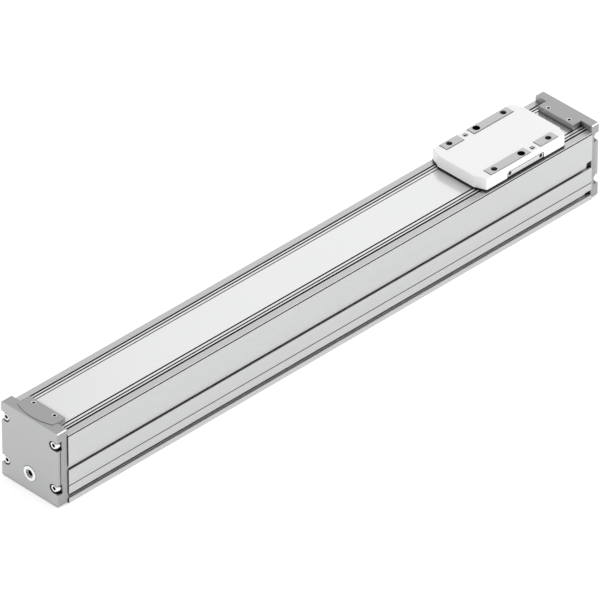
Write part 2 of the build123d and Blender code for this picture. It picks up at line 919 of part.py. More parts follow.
def slide_outline(inset):
    """Plan of the slide with its slanted corners, drawn in by an inset."""
    end = slide_half - inset
    nose = slide_nose_width / 2
    waist = slide_half - slide_nose_length
    half = slide_width / 2 - inset
    slant = math.hypot(slide_nose_length, slide_width / 2 - nose)
    nose_in = nose - inset * (slant - (slide_width / 2 - nose)) / slide_nose_length
    waist_in = waist - inset * (slant - slide_nose_length) / (slide_width / 2 - nose)
    corners = [(end, nose_in), (waist_in, half), (-waist_in, half), (-end, nose_in)]
    corners += [(-x, -y) for x, y in corners]
    return make_face(Polyline(*corners, close=True))


def pad_spans():
    """X from and to, and the side, of the four pads; the two sides are turned by half a turn."""
    return [
        (-pad_long_overrun, pad_outer_x, 1),
        (-pad_outer_x, -pad_short_start, 1),
        (-pad_outer_x, pad_long_overrun, -1),
        (pad_short_start, pad_outer_x, -1),
    ]


def pad_box(span, bottom, top, gap):
    """Upright block over one pad, wider by a gap on three sides."""
    start, stop, side = span
    inner = table_half_width - pad_width - gap
    outer = table_half_width + min(gap, table_cover_gap)
    return box_between(
        slide_x + start - gap, slide_x + stop + gap, side * inner, side * outer, bottom, top
    )


def cover_screw_places():
    """X and Y of the two screws that hold the cover."""
    return [
        (slide_x - cover_screw_x, slide_hole_y),
        (slide_x + cover_screw_x, -slide_hole_y),
    ]


def side_plate_screw_places():
    """X of the two screws of a side plate."""
    return [slide_x + side * side_plate_screw_spacing / 2 for side in SIDES]


def make_slide_table():
    """Metal table with four raised pads, threaded holes and centring bores."""
    inset = cover_wall + table_cover_gap
    skirt_bottom = table_bottom - table_skirt_depth
    plan = Pos(slide_x, 0, skirt_bottom) * slide_outline(inset)
    table = extrude(plan, amount=table_top - skirt_bottom)
    room = yoke_half_width + table_skirt_clearance
    table -= box_between(
        slide_x - slide_half, slide_x + slide_half, -room, room, skirt_bottom, table_bottom
    )
    for span in pad_spans():
        table += pad_box(span, table_top - 1, pad_top, 0)
    table -= slide_holes()
    seat = table_bottom + table_screw_seat
    for x, y in table_screw_places():
        table -= Pos(x, y, table_bottom) * rod(table_screw_size + 2 * hole_clearance, table_thickness)
        table -= Pos(x, y, seat) * rod(table_counterbore_diameter, table_thickness)
    for x, y in cover_screw_places():
        thread = rod(cover_screw_size + 2 * thread_fit, cover_screw_length)
        table -= Pos(x, y, cover_top - cover_screw_sink - cover_screw_length) * thread
    for side in SIDES:
        for x in side_plate_screw_places():
            plane = facing(x, side * table_half_width, side_plate_screw_height(), (0, side, 0))
            thread = rod(side_plate_screw_size + 2 * thread_fit, side_plate_screw_length)
            table -= plane * (Pos(0, 0, -side_plate_screw_length) * thread)
    return table


def slide_holes():
    """Threaded holes at the corners and a centring bore on each side, all in the pads."""
    cuts = []
    thread = rod(slide_hole_diameter, slide_hole_depth)
    bore = rod(slide_centring_diameter, slide_centring_depth)
    for dy in SIDES:
        for dx in SIDES:
            x = slide_x + dx * slide_hole_x
            cuts.append(Pos(x, dy * slide_hole_y, pad_top - slide_hole_depth) * thread)
        cuts.append(Pos(slide_x, dy * slide_hole_y, pad_top - slide_centring_depth) * bore)
    return cuts


def make_table_screws():
    """Four screws from the table down into the yoke."""
    screw = socket_screw(
        table_screw_size,
        table_screw_head_diameter,
        table_screw_head_height,
        table_screw_length,
        2.5,
    )
    return [Pos(x, y, table_bottom + table_screw_seat) * screw for x, y in table_screw_places()]


def side_plate_top():
    """Height of the upper edge of a side plate."""
    return table_bottom - table_skirt_depth + side_plate_height


def side_plate_screw_height():
    """Height of the side plates' screws."""
    return side_plate_top() - side_plate_screw_drop


def side_plate_outline(gap):
    """Face of a side plate with rounded upper corners, in X and Z."""
    half = side_plate_length / 2 + gap
    top = side_plate_top() + gap
    bottom = table_bottom - table_skirt_depth
    plate = Pos(0, (top + bottom) / 2) * Rectangle(2 * half, top - bottom)
    return fillet(plate.vertices().sort_by(Axis.Y)[-2:], side_plate_radius + gap)


def side_window(side):
    """Opening in the cover round a side plate, down through the cover's lower edge."""
    face = Plane(origin=(slide_x, 0, 0), x_dir=(1, 0, 0), z_dir=(0, -1, 0))
    window = extrude(face * side_plate_outline(side_plate_gap), amount=slide_width)
    window = window if side < 0 else mirror(window, about=Plane.XZ)
    low = side_plate_length / 2 + side_plate_gap
    window += box_between(
        slide_x - low, slide_x + low, 0, side * slide_width, cover_bottom - 1, side_plate_top() - 2
    )
    keep = box_between(
        slide_x - slide_half,
        slide_x + slide_half,
        side * (table_half_width - 1),
        side * slide_width,
        cover_bottom - 1,
        cover_top,
    )
    return window & keep


def make_slide_cover():
    """White moulded shell with windows for the pads and the side plates."""
    plan = Pos(slide_x, 0, cover_bottom) * slide_outline(0)
    shell = extrude(plan, amount=cover_top - cover_bottom)
    upright = shell.edges().filter_by(Axis.Z)
    shell = fillet(upright, cover_corner_radius)
    rim = shell.edges().group_by(Axis.Z)[-1]
    shell = fillet(rim, cover_edge_radius)
    inner = Pos(slide_x, 0, cover_bottom - 1) * slide_outline(cover_wall)
    shell -= extrude(inner, amount=table_top - cover_bottom + 1)
    for span in pad_spans():
        shell -= pad_box(span, table_top - 1, pad_top + 1, cover_window_gap)
    for side in SIDES:
        shell -= side_window(side)
    hole = flat_head_hole(cover_screw_size, cover_screw_head_diameter, 4.0, thread_fit)
    for x, y in cover_screw_places():
        shell -= Pos(x, y, cover_top - cover_screw_sink) * hole
    return shell


def make_slide_cover_screws():
    """Two cross-recess screws that hold the cover to the table."""
    screw = flat_head_screw(
        cover_screw_size, cover_screw_head_diameter, cover_screw_length, cross_cut()
    )
    return [Pos(x, y, cover_top - cover_screw_sink) * screw for x, y in cover_screw_places()]


def make_side_plates():
    """Small plates on the table's long sides, in the cover's windows."""
    plates = []
    head = side_plate_screw_head_diameter
    hole = flat_head_hole(side_plate_screw_size, head, 2.0, thread_fit)
    for side in SIDES:
        x_dir = (-side, 0, 0)
        face = Plane(origin=(slide_x, side * table_half_width, 0), x_dir=x_dir, z_dir=(0, side, 0))
        plate = extrude(face * side_plate_outline(0), amount=side_plate_thickness)
        for x in side_plate_screw_places():
            y = side * (table_half_width + side_plate_thickness)
            plate -= facing(x, y, side_plate_screw_height(), (0, side, 0)) * hole
        plates.append(plate)
    return plates


def make_side_plate_screws():
    """Small countersunk screws of the side plates."""
    screw = flat_head_screw(
        side_plate_screw_size,
        side_plate_screw_head_diameter,
        side_plate_screw_length,
        socket_cut(1.3, 0.8),
    )
    screws = []
    for side in SIDES:
        y = side * (table_half_width + side_plate_thickness)
        for x in side_plate_screw_places():
            screws.append(facing(x, y, side_plate_screw_height(), (0, side, 0)) * screw)
    return screws


def make_magnets():
    """Discs that switch the sensors in the side slots."""
    return [magnet(side, magnet_diameter) for side in SIDES]


def make_ball_screw():
    """Screw shaft with its collar and journals."""
    drive_seat = boss_face + clamp_ring_thickness
    drive_end = end_face + drive_cap_thickness
    shaft = rod_along_x(screw_diameter, -boss_face, drive_seat)
    shaft += rod_along_x(collar_diameter, drive_seat - collar_length, drive_seat)
    journal_end = drive_seat + 2 * drive_bearing_width + lock_nut_thickness
    shaft += rod_along_x(drive_journal_diameter, drive_seat, journal_end)
    shaft += rod_along_x(drive_neck_diameter, journal_end, drive_end)
    shaft += rod_along_x(drive_shaft_diameter, drive_end, drive_end + drive_shaft_length)
    idle_end = boss_face + idle_bearing_width + idle_journal_overhang
    shaft += rod_along_x(idle_journal_diameter, -idle_end, -boss_face)
    tip = shaft.edges().filter_by(GeomType.CIRCLE).sort_by(Axis.X)[-1]
    return chamfer(tip, 0.5)


def outer_ring(outer, journal, x0, width):
    """Bearing's outer ring with its two shields."""
    shield_hole = journal + 2 * (bearing_ring_wall + seal_clearance)
    ring = tube_along_x(outer, outer - 2 * bearing_ring_wall, x0, x0 + width)
    ring += tube_along_x(outer, shield_hole, x0, x0 + bearing_shield_thickness)
    far = x0 + width
    return ring + tube_along_x(outer, shield_hole, far - bearing_shield_thickness, far)


def inner_ring(journal, x0, width):
    """Bearing's inner ring on its journal."""
    return tube_along_x(journal + 2 * bearing_ring_wall, journal, x0, x0 + width)


def drive_bearing_starts():
    """X where each bearing of the drive end's pair starts."""
    first = boss_face + clamp_ring_thickness
    return [first, first + drive_bearing_width]


def make_drive_outer_rings():
    """Outer rings of the bearing pair."""
    diameter = drive_bearing_diameter
    journal = drive_journal_diameter
    return [outer_ring(diameter, journal, x, drive_bearing_width) for x in drive_bearing_starts()]


def make_drive_inner_rings():
    """Inner rings of the bearing pair."""
    journal = drive_journal_diameter
    return [inner_ring(journal, x, drive_bearing_width) for x in drive_bearing_starts()]


def make_idle_outer_ring():
    """Outer ring of the tail bearing."""
    start = -boss_face - idle_bearing_width
    return outer_ring(idle_bearing_diameter, idle_journal_diameter, start, idle_bearing_width)


def make_idle_inner_ring():
    """Inner ring of the tail bearing."""
    start = -boss_face - idle_bearing_width
    return inner_ring(idle_journal_diameter, start, idle_bearing_width)


def make_lock_nut():
    """Nut that clamps the bearing pair on its journal."""
    start = boss_face + clamp_ring_thickness + 2 * drive_bearing_width
    nut = tube_along_x(lock_nut_diameter, drive_journal_diameter, start, start + lock_nut_thickness)
    for step in range(4):
        angle = math.radians(90 * step)
        y = lock_nut_diameter / 2 * math.cos(angle)
        z = screw_height + lock_nut_diameter / 2 * math.sin(angle)
        nut -= rod_along_x(3.0, start - 1, start + lock_nut_thickness + 1, y, z)
    return nut


def make_clamp_ring():
    """Ring that holds the outer rings in the drive cap's bore."""
    hole = collar_diameter + 2 * collar_clearance
    return tube_along_x(drive_bearing_diameter, hole, boss_face, boss_face + clamp_ring_thickness)


def make_retaining_ring():
    """Ring behind the tail bearing."""
    start = -boss_face - idle_bearing_width - retaining_ring_thickness
    stop = start + retaining_ring_thickness
    return tube_along_x(retaining_ring_diameter, idle_journal_diameter, start, stop)


def make_end_buffers():
    """Rubber rings that the nut housing meets past the ends of its stroke."""
    buffers = []
    outer = boss_diameter - 2 * buffer_inset
    inner = outer - 2 * buffer_ring_width
    for end in SIDES:
        face = end * boss_face
        buffers.append(tube_along_x(outer, inner, face, face - end * buffer_thickness))
    return buffers


def all_nodes():
    """Name and shape of every node."""
    return {
        "profile": make_profile(),
        "strip_carrier": make_strip_carrier(),
        "cover_strip": make_cover_strip(),
        "drive_end_cap": make_drive_end_cap(),
        "idle_end_cap": make_idle_end_cap(),
        "drive_cap_screws": make_cap_screws(1, drive_cap_thickness),
        "idle_cap_screws": make_cap_screws(-1, idle_cap_thickness),
        "drive_tongue_screws": make_tongue_screws(1, cap_top),
        "idle_tongue_screws": make_tongue_screws(-1, cap_top + crest_height),
        "vent_plug": make_vent_plug(),
        "guide_rail": make_guide_rail(),
        "rail_screws": make_rail_screws(),
        "drive_bearing_outer_rings": make_drive_outer_rings(),
        "idle_bearing_outer_ring": make_idle_outer_ring(),
        "bearing_clamp_ring": make_clamp_ring(),
        "end_buffers": make_end_buffers(),
        "ball_screw": make_ball_screw(),
        "drive_bearing_inner_rings": make_drive_inner_rings(),
        "idle_bearing_inner_ring": make_idle_inner_ring(),
        "bearing_lock_nut": make_lock_nut(),
        "idle_retaining_ring": make_retaining_ring(),
        "guide_carriages": make_guide_carriages(),
        "carriage_end_seals": make_carriage_end_seals(),
        "carriage_screws": make_carriage_screws(),
        "nut_housing": make_nut_housing(),
        "ball_nut": make_ball_nut(),
        "nut_screws": make_nut_screws(),
        "sensor_magnets": make_magnets(),
        "slide_yoke": make_slide_yoke(),
        "yoke_screws": make_yoke_screws(),
        "slide_table": make_slide_table(),
        "table_screws": make_table_screws(),
        "slide_cover": make_slide_cover(),
        "slide_cover_screws": make_slide_cover_screws(),
        "side_plates": make_side_plates(),
        "side_plate_screws": make_side_plate_screws(),
    }


def main():
    """Write one STEP file for each node."""
    os.makedirs("parts", exist_ok=True)
    for name, shape in all_nodes().items():
        solids = shape if isinstance(shape, list) else [shape]
        group = solids[0] if len(solids) == 1 else Compound(children=solids)
        export_step(group, f"parts/{name}.step")
    print("slide centre x", slide_x, "screw height", screw_height, "pad top", pad_top)


main()
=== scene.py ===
"""Dressed model of a ball-screw linear axis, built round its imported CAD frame.

Metres, X towards the drive end, Z up. The slide stands at the drive end of its stroke.
"""

import logging
import math
from dataclasses import dataclass, field, replace
from enum import Enum
from functools import cache

import bmesh
import bpy
from mathutils import Matrix, Vector


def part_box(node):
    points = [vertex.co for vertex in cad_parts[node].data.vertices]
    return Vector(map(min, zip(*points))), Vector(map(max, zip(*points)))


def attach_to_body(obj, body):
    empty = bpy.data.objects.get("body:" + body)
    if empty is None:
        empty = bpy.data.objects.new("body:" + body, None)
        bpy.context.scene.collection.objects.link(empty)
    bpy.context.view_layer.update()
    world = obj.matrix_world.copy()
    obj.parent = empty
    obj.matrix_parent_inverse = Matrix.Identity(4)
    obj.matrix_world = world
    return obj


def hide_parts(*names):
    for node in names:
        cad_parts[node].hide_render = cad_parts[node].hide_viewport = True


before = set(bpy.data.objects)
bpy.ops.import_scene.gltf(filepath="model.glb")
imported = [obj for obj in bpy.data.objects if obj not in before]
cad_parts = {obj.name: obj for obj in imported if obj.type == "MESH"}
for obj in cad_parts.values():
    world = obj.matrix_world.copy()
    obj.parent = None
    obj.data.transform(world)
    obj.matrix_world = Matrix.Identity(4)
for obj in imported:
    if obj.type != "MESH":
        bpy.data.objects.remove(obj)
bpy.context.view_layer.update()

MM = 0.001
LOG = logging.getLogger("linear_axis")
PAINTED_SHADE_SAMPLES = 8
NOISE_MIDDLE = (0.3, 0.7)
MERGE_DISTANCE = 0.001 * MM
WELD_DISTANCE = 0.003 * MM
ORDER_DIGITS = 5
FLAT_ANGLE = 0.6
SCREW_CREASE = 32.0
SPINDLE_CREASE = 50.0
FACE_WEIGHT = 100
KNURL_STEPS = 48
KNURL_DEPTH = 0.018
CROSS_ARM = 0.40
CROSS_TIP = 0.05
THREAD_STEPS = 20
THREAD_DROP = -1.04
RIDGE_CORNERS = 3
RANDOM_LIMIT = 3
RANDOM_RESULT = 1
AIM = "aim"
UP = Vector((0.0, 0.0, 1.0))
UPWARD = (UP,)

Triple = tuple[float, float, float]
Colour = Triple
Span = tuple[float, float]
Socket = bpy.types.NodeSocket


class Body(Enum):
    """Rigid bodies of the axis, by their names in the frame."""

    FRAME = "frame"
    SPINDLE = "spindle"
    SLIDE = "slide"


class RingShape(Enum):
    """Outlines that a screw's cross-sections can have."""

    ROUND = "round"
    KNURLED = "knurled"
    HEXAGON = "hexagon"
    CROSS = "cross"


class Drive(Enum):
    """Recesses that a screwdriver or key goes into."""

    SOCKET = "socket"
    CROSS = "cross"


class Head(Enum):
    """Heads that the screws have."""

    CYLINDER = "cylinder"
    COUNTERSUNK = "countersunk"


@dataclass(frozen=True)
class PaintedShade:
    """Painted shade: a colour darkened by ambient occlusion in closed-in places.

    A place is fully dark where its open share is below full, and keeps its colour above the upper
    limit. The share counts walls within reach, in metres, of the piece itself, or of its neighbours
    too.
    """

    reach: float
    full: float
    clean: float
    neighbours: bool = False
    colour: Colour = (0.012, 0.012, 0.0125)


@dataclass(frozen=True)
class PaintedLightZone:
    """Region whose surfaces are painted with a colour that stands for light or shade, in
    millimetres.

    X and Y are counted from the middle planes either way, so one zone stands for its mirror
    images too. A side that is None has no limits.
    """

    x: Span | None = None
    y: Span | None = None
    z: Span | None = None
    # Near black unless a zone gives another colour: painted shade.
    colour: Colour = (0.015, 0.015, 0.016)


class NodeBuilder:
    """Adds nodes and links to one node tree."""

    def __init__(self, tree: bpy.types.NodeTree) -> None:
        """Work on the tree of a material or of a node group."""
        self.tree = tree

    def feed(self, target: Socket, value: object) -> None:
        """Link an input to an output, or give it a constant.

        Args:
            target: The input.
            value: An output or a constant.
        """
        if isinstance(value, Socket):
            self.tree.links.new(value, target)
        else:
            target.default_value = value

    def node(
        self, kind: str, inputs: dict[str | int, object] | None = None, **values: object
    ) -> bpy.types.Node:
        """Add a node.

        Args:
            kind: Blender's type name.
            inputs: Output or constant for each input, by its name or number.
            **values: Attributes of the node.

        Returns:
            The new node.
        """
        node = self.tree.nodes.new(kind)
        for key, value in values.items():
            setattr(node, key, value)
        for key, value in (inputs or {}).items():
            self.feed(node.inputs[key], value)
        return node

    def calculate(self, operation: str, *operands: Socket | float) -> Socket:
        """Result of a Math node that is fed with outputs or constants, in order."""
        node = self.node("ShaderNodeMath", dict(enumerate(operands)), operation=operation)
        return node.outputs["Value"]


class ShaderBuilder(NodeBuilder):
    """Builds one material round a Principled shader."""

    def __init__(self, name: str) -> None:
        """Start an empty material.

        Args:
            name: Name of the material.
        """
        self.material = bpy.data.materials.new(name)
        self.material.use_nodes = True
        super().__init__(self.material.node_tree)
        self.tree.nodes.clear()
        self.shader = self.node("ShaderNodeBsdfPrincipled")
        self.node("ShaderNodeOutputMaterial", {"Surface": self.shader.outputs["BSDF"]})

    def place(self) -> Socket:
        """Place on the piece, in Object coordinates."""
        return self.node("ShaderNodeTexCoord").outputs["Object"]

    def noise(self, cells: Triple, detail: float, roughness: float) -> Socket:
        """Noise on Object coordinates.

        Args:
            cells: Cells for each metre along X, Y and Z.
            detail: Octaves of the noise.
            roughness: Strength of the finer octaves.

        Returns:
            The noise's factor, from 0 to 1.
        """
        place = self.node("ShaderNodeMapping", {"Vector": self.place(), "Scale": cells})
        inputs = {"Vector": place.outputs["Vector"], "Scale": 1.0}
        inputs |= {"Detail": detail, "Roughness": roughness}
        return self.node("ShaderNodeTexNoise", inputs).outputs["Fac"]

    def remap(self, value: Socket, source: Span, result: Span = (0.0, 1.0)) -> Socket:
        """Map one range of values onto another and hold it inside."""
        limits = dict(zip(("From Min", "From Max", "To Min", "To Max"), source + result))
        return self.node("ShaderNodeMapRange", {"Value": value, **limits}).outputs["Result"]

    def mix(self, factor: Socket, first: object, second: object) -> Socket:
        """Mix two colours, from the first at a factor of 0 to the second at 1."""
        inputs = {"Factor": factor, "A": first, "B": second}
        return self.node("ShaderNodeMix", inputs, data_type="RGBA").outputs["Result"]

    def tint(self, factor: Socket, colour: Colour, change: float) -> Socket:
        """Make a colour darker and lighter by a share of it, along a noise's factor."""
        steady = self.remap(factor, NOISE_MIDDLE)
        return self.mix(steady, shade(colour, 1 - change), shade(colour, 1 + change))

    def paint_shade(self, colour: Socket, painted_shade: PaintedShade) -> Socket:
        """Paint shade: darken a colour in grooves, holes and inner corners, by ambient occlusion.

        Args:
            colour: Colour of the open surface.
            painted_shade: How far and how dark the painted shade is.

        Returns:
            The darkened colour.
        """
        open_share = self.node(
            "ShaderNodeAmbientOcclusion",
            {"Distance": painted_shade.reach},
            samples=PAINTED_SHADE_SAMPLES,
            only_local=not painted_shade.neighbours,
        )
        clean = self.remap(open_share.outputs["AO"], (painted_shade.full, painted_shade.clean))
        return self.mix(clean, shade(painted_shade.colour), colour)

    def paint(self, colour: Socket, zone: PaintedLightZone) -> Socket:
        """Paint light or shade onto the surfaces in a zone.

        Args:
            colour: Colour outside it.
            zone: Where it is, and its colour.

        Returns:
            The colour inside and outside.
        """
        parts = self.node("ShaderNodeSeparateXYZ", {"Vector": self.place()})
        inside = 1.0
        for axis, span in (("X", zone.x), ("Y", zone.y), ("Z", zone.z)):
            if span:
                low, high = (limit * MM for limit in span)
                distance = self.calculate("ABSOLUTE", parts.outputs[axis])
                within = self.calculate("COMPARE", distance, (low + high) / 2, (high - low) / 2)
                inside = self.calculate("MULTIPLY", inside, within)
        return self.mix(inside, colour, shade(zone.colour))

    def bump(self, factor: Socket, depth: float, strength: float) -> None:
        """Raise the surface by a pattern.

        Args:
            factor: Height from 0 to 1.
            depth: Height of the relief in metres.
            strength: Share of the relief that shows.
        """
        inputs = {"Height": factor, "Distance": depth, "Strength": strength}
        relief = self.node("ShaderNodeBump", inputs)
        self.feed(self.shader.inputs["Normal"], relief.outputs["Normal"])


# Painted shade: darkening by ambient occlusion in fine grooves, deep slots, seams and recesses.
FINE_PAINTED_SHADE = PaintedShade(1.2 * MM, 0.64, 0.92)
DEEP_PAINTED_SHADE = PaintedShade(6.0 * MM, 0.10, 0.34)
SEAM_PAINTED_SHADE = PaintedShade(1.5 * MM, 0.50, 0.90, neighbours=True)
RECESS_PAINTED_SHADE = PaintedShade(5.0 * MM, 0.36, 0.72, neighbours=True)


def shade(colour: Colour, share: float = 1.0) -> tuple[float, float, float, float]:
    """Scale a linear colour, keep it in range and make it opaque."""
    red, green, blue = (min(1.0, value * share) for value in colour)
    return (red, green, blue, 1.0)


@dataclass(frozen=True)
class Finish:
    """Surface of a piece: a colour, a gloss, a fine relief, painted shade and painted light."""

    name: str
    slot: str
    colour: Colour
    metallic: float
    roughness: float
    cells: Triple = (400.0, 400.0, 400.0)
    tint: float = 0.02
    rough_change: float = 0.04
    grain_cells: Triple = (4000.0, 4000.0, 4000.0)
    grain_depth: float = 0.01 * MM
    grain_strength: float = 0.25
    specular: float = 0.5
    # Painted shade in hollows, and zones of painted light and shade.
    painted_shade: tuple[PaintedShade, ...] = (FINE_PAINTED_SHADE, DEEP_PAINTED_SHADE)
    painted_light_zones: tuple[PaintedLightZone, ...] = ()
    glow: float = 0.0

    @cache
    def material(self) -> bpy.types.Material:
        """Build the material, once for each finish.

        Returns:
            The procedural material.
        """
        builder = ShaderBuilder(self.name)
        broad = builder.noise(self.cells, detail=4.0, roughness=0.6)
        colour = builder.tint(broad, self.colour, self.tint)
        # Painted light and shade: the zones' colours, then darkening in hollows.
        for zone in self.painted_light_zones:
            colour = builder.paint(colour, zone)
        for painted_shade in self.painted_shade:
            colour = builder.paint_shade(colour, painted_shade)
        rough_span = (self.roughness - self.rough_change, self.roughness + self.rough_change)
        for key, value in (
            ("Base Color", colour),
            ("Metallic", self.metallic),
            ("Roughness", builder.remap(broad, NOISE_MIDDLE, rough_span)),
            ("Specular IOR Level", self.specular),
            ("Emission Color", shade(self.colour)),
            ("Emission Strength", self.glow),
        ):
            builder.feed(builder.shader.inputs[key], value)
        grain = builder.noise(self.grain_cells, detail=3.0, roughness=0.7)
        builder.bump(grain, self.grain_depth, self.grain_strength)
        return builder.material

    def put_on(self, piece: bpy.types.Object) -> None:
        """Make this the only material of a piece."""
        piece.data.materials.clear()
        piece.data.materials.append(self.material())


BODY_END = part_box("profile")[1].x / MM
BODY_ALUMINIUM = Finish(
    "drawn_anodised_aluminium", "anodised_body", (0.565, 0.568, 0.572), 0.80, 0.34,
    cells=(6.0, 700.0, 700.0), tint=0.03, grain_cells=(60.0, 5000.0, 5000.0),
    painted_light_zones=(
        # Painted shade on the gap's walls beside the carrier, the groove under the top edge and
        # the body's end.
        PaintedLightZone(y=(24.2, 24.4), z=(56.0, 59.95)),
        PaintedLightZone(y=(28.9, 30.1), z=(58.6, 59.7)),
        PaintedLightZone(x=(BODY_END - 0.05, BODY_END + 0.05), y=(28.0, 30.1), colour=(0.05, 0.05, 0.052)),
    ),
)
CARRIER_ALUMINIUM = Finish(
    "drawn_carrier_aluminium", "anodised_carrier", (0.81, 0.815, 0.82), 0.60, 0.34,
    cells=(8.0, 900.0, 900.0), tint=0.02, grain_cells=(80.0, 5000.0, 5000.0),
    painted_light_zones=(
        # Painted shade on the carrier's outer sides, its groove and the step beside the strip.
        PaintedLightZone(y=(22.65, 22.75), z=(58.0, 59.9)),
        PaintedLightZone(y=(20.2, 21.5), z=(59.0, 60.3)),
        PaintedLightZone(y=(17.2, 18.45), z=(59.0, 60.3)),
    ),
)
STRIP_STEEL = Finish(
    "rolled_strip_steel", "strip_steel", (0.76, 0.763, 0.767), 0.88, 0.18,
    cells=(3.0, 60.0, 60.0), tint=0.006, rough_change=0.01,
    grain_cells=(30.0, 6000.0, 6000.0), grain_depth=0.0004 * MM, grain_strength=0.3,
    # Painted shade: the strip darkens within 8 mm of its neighbours.
    painted_shade=(PaintedShade(8.0 * MM, 0.10, 1.0, neighbours=True, colour=(0.05, 0.05, 0.05)),),
)
CAP_ALUMINIUM = Finish(
    "blasted_cap_aluminium", "anodised_cap", (0.40, 0.402, 0.405), 0.8, 0.36,
    cells=(500.0, 500.0, 500.0), grain_cells=(3500.0, 3500.0, 3500.0), grain_strength=0.35,
    # Painted shade in seams and recesses, neighbours included.
    painted_shade=(PaintedShade(1.5 * MM, 0.28, 0.72, neighbours=True), RECESS_PAINTED_SHADE),
    painted_light_zones=(
        # Painted light on the outer faces, painted shade on the long sides and a painted highlight
        # on the broken edge at the top of each side.
        PaintedLightZone(x=(278.3, 279.2), colour=(0.455, 0.457, 0.46)),
        PaintedLightZone(y=(29.05, 29.15), colour=(0.355, 0.357, 0.36)),
        PaintedLightZone(x=(270.0, 278.6), y=(28.3, 29.2), z=(64.5, 65.4), colour=(0.90, 0.90, 0.90)),
    ),
)
TABLE_ALUMINIUM = Finish(
    "milled_table_aluminium", "table_metal", (0.565, 0.568, 0.572), 0.5, 0.38,
    cells=(900.0, 90.0, 90.0), grain_cells=(4500.0, 400.0, 400.0),
    # Painted shade in seams and recesses.
    painted_shade=(SEAM_PAINTED_SHADE, RECESS_PAINTED_SHADE),
    # Painted shade on the pads' sides and the walls of their holes, below the broken top edges.
    painted_light_zones=(PaintedLightZone(z=(66.5, 72.03)),),
)
PLATE_ALUMINIUM = Finish(
    "milled_plate_aluminium", "table_metal", (0.66, 0.663, 0.667), 0.5, 0.38,
    cells=(90.0, 900.0, 900.0), grain_cells=(400.0, 4500.0, 4500.0),
    # Painted shade in seams with its neighbours.
    painted_shade=(SEAM_PAINTED_SHADE,),
    painted_light_zones=(
        # Painted shade on the plates' rims.
        PaintedLightZone(z=(66.0, 66.6)),
        PaintedLightZone(x=(180.9, 181.45)),
        PaintedLightZone(x=(218.6, 219.1)),
    ),
)
BLOCK_ALUMINIUM = Finish(
    "milled_block_aluminium", "machined_block", (0.70, 0.71, 0.73), 0.8, 0.36,
    cells=(90.0, 900.0, 900.0), grain_cells=(400.0, 4500.0, 4500.0),
)
WHITE_COVER = Finish(
    "moulded_white_plastic", "white_cover", (0.95, 0.95, 0.945), 0.0, 0.42,
    tint=0.01, grain_cells=(6000.0, 6000.0, 6000.0), grain_depth=0.02 * MM,
    # Painted shade in gaps next to its neighbours.
    painted_shade=(PaintedShade(0.8 * MM, 0.20, 0.60, neighbours=True),),
)
GROUND_STEEL = Finish(
    "ground_oiled_steel", "ground_steel", (0.38, 0.388, 0.40), 1.0, 0.28,
    cells=(30.0, 1500.0, 1500.0), grain_cells=(200.0, 7000.0, 7000.0),
)
BEARING_STEEL = Finish(
    "polished_bearing_steel", "bearing_steel", (0.60, 0.61, 0.625), 1.0, 0.18,
    cells=(1500.0, 300.0, 300.0), grain_strength=0.1,
)
ZINC = Finish(
    "bright_zinc", "zinc_screw", (0.92, 0.925, 0.93), 0.5, 0.34,
    cells=(1500.0, 1500.0, 1500.0), tint=0.03, grain_strength=0.2,
    # Painted shade round the heads and in their recesses.
    painted_shade=(PaintedShade(3.0 * MM, 0.55, 0.85, neighbours=True),),
)
# Copy of the zinc with stronger painted shade, for screws in recesses.
DEEPER_SHADED_ZINC = replace(
    ZINC, name="recessed_zinc", painted_shade=(PaintedShade(3.0 * MM, 0.72, 0.96, neighbours=True),)
)
BLACKENED_SCREW = Finish(
    "blackened_screw", "zinc_screw", (0.03, 0.03, 0.032), 0.4, 0.4,
    cells=(1500.0, 1500.0, 1500.0), tint=0.1, grain_strength=0.2,
)
SHADED_THREAD = Finish(
    "tapped_thread", "table_metal", (0.14, 0.14, 0.142), 0.6, 0.3,
    cells=(2000.0, 2000.0, 2000.0), tint=0.05, painted_shade=(),
)
PLUG_ZINC = Finish(
    "plug_zinc", "dark_plug", (0.90, 0.905, 0.91), 0.5, 0.34,
    # Painted shade darkens the plug's recess.
    cells=(1200.0, 1200.0, 1200.0), tint=0.04, painted_shade=(PaintedShade(6.0 * MM, 0.35, 0.85),),
)
# Black for the carriages' seals, and painted shade as the lip in the gap under the slide's cover.
SEAL_AND_SHADE_BLACK = Finish(
    "black_seal_plastic", "seal_plastic", (0.01, 0.011, 0.0125), 0.0, 0.5, tint=0.1,
    specular=0.12,
)
BUFFER_RUBBER = Finish(
    "black_buffer_rubber", "buffer_rubber", (0.018, 0.018, 0.018), 0.0, 0.7, tint=0.15,
    grain_depth=0.03 * MM,
)
MAGNET_NICKEL = Finish(
    "nickel_magnet", "magnet", (0.45, 0.44, 0.42), 1.0, 0.22, tint=0.04,
)


def circle_angles(segments: int) -> list[float]:
    """Directions in radians that share a circle out evenly."""
    return [math.tau * step / segments for step in range(segments)]


def bridge(build: bmesh.types.BMesh, loops: list[list[bmesh.types.BMVert]]) -> None:
    """Join neighbouring loops of equal length with four-sided faces.

    Args:
        build: Mesh that the loops belong to.
        loops: Closed loops of vertices, in order.
    """
    for before, behind in zip(loops, loops[1:]):
        for step in range(len(before)):
            after = (step + 1) % len(before)
            build.faces.new((before[step], before[after], behind[after], behind[step]))


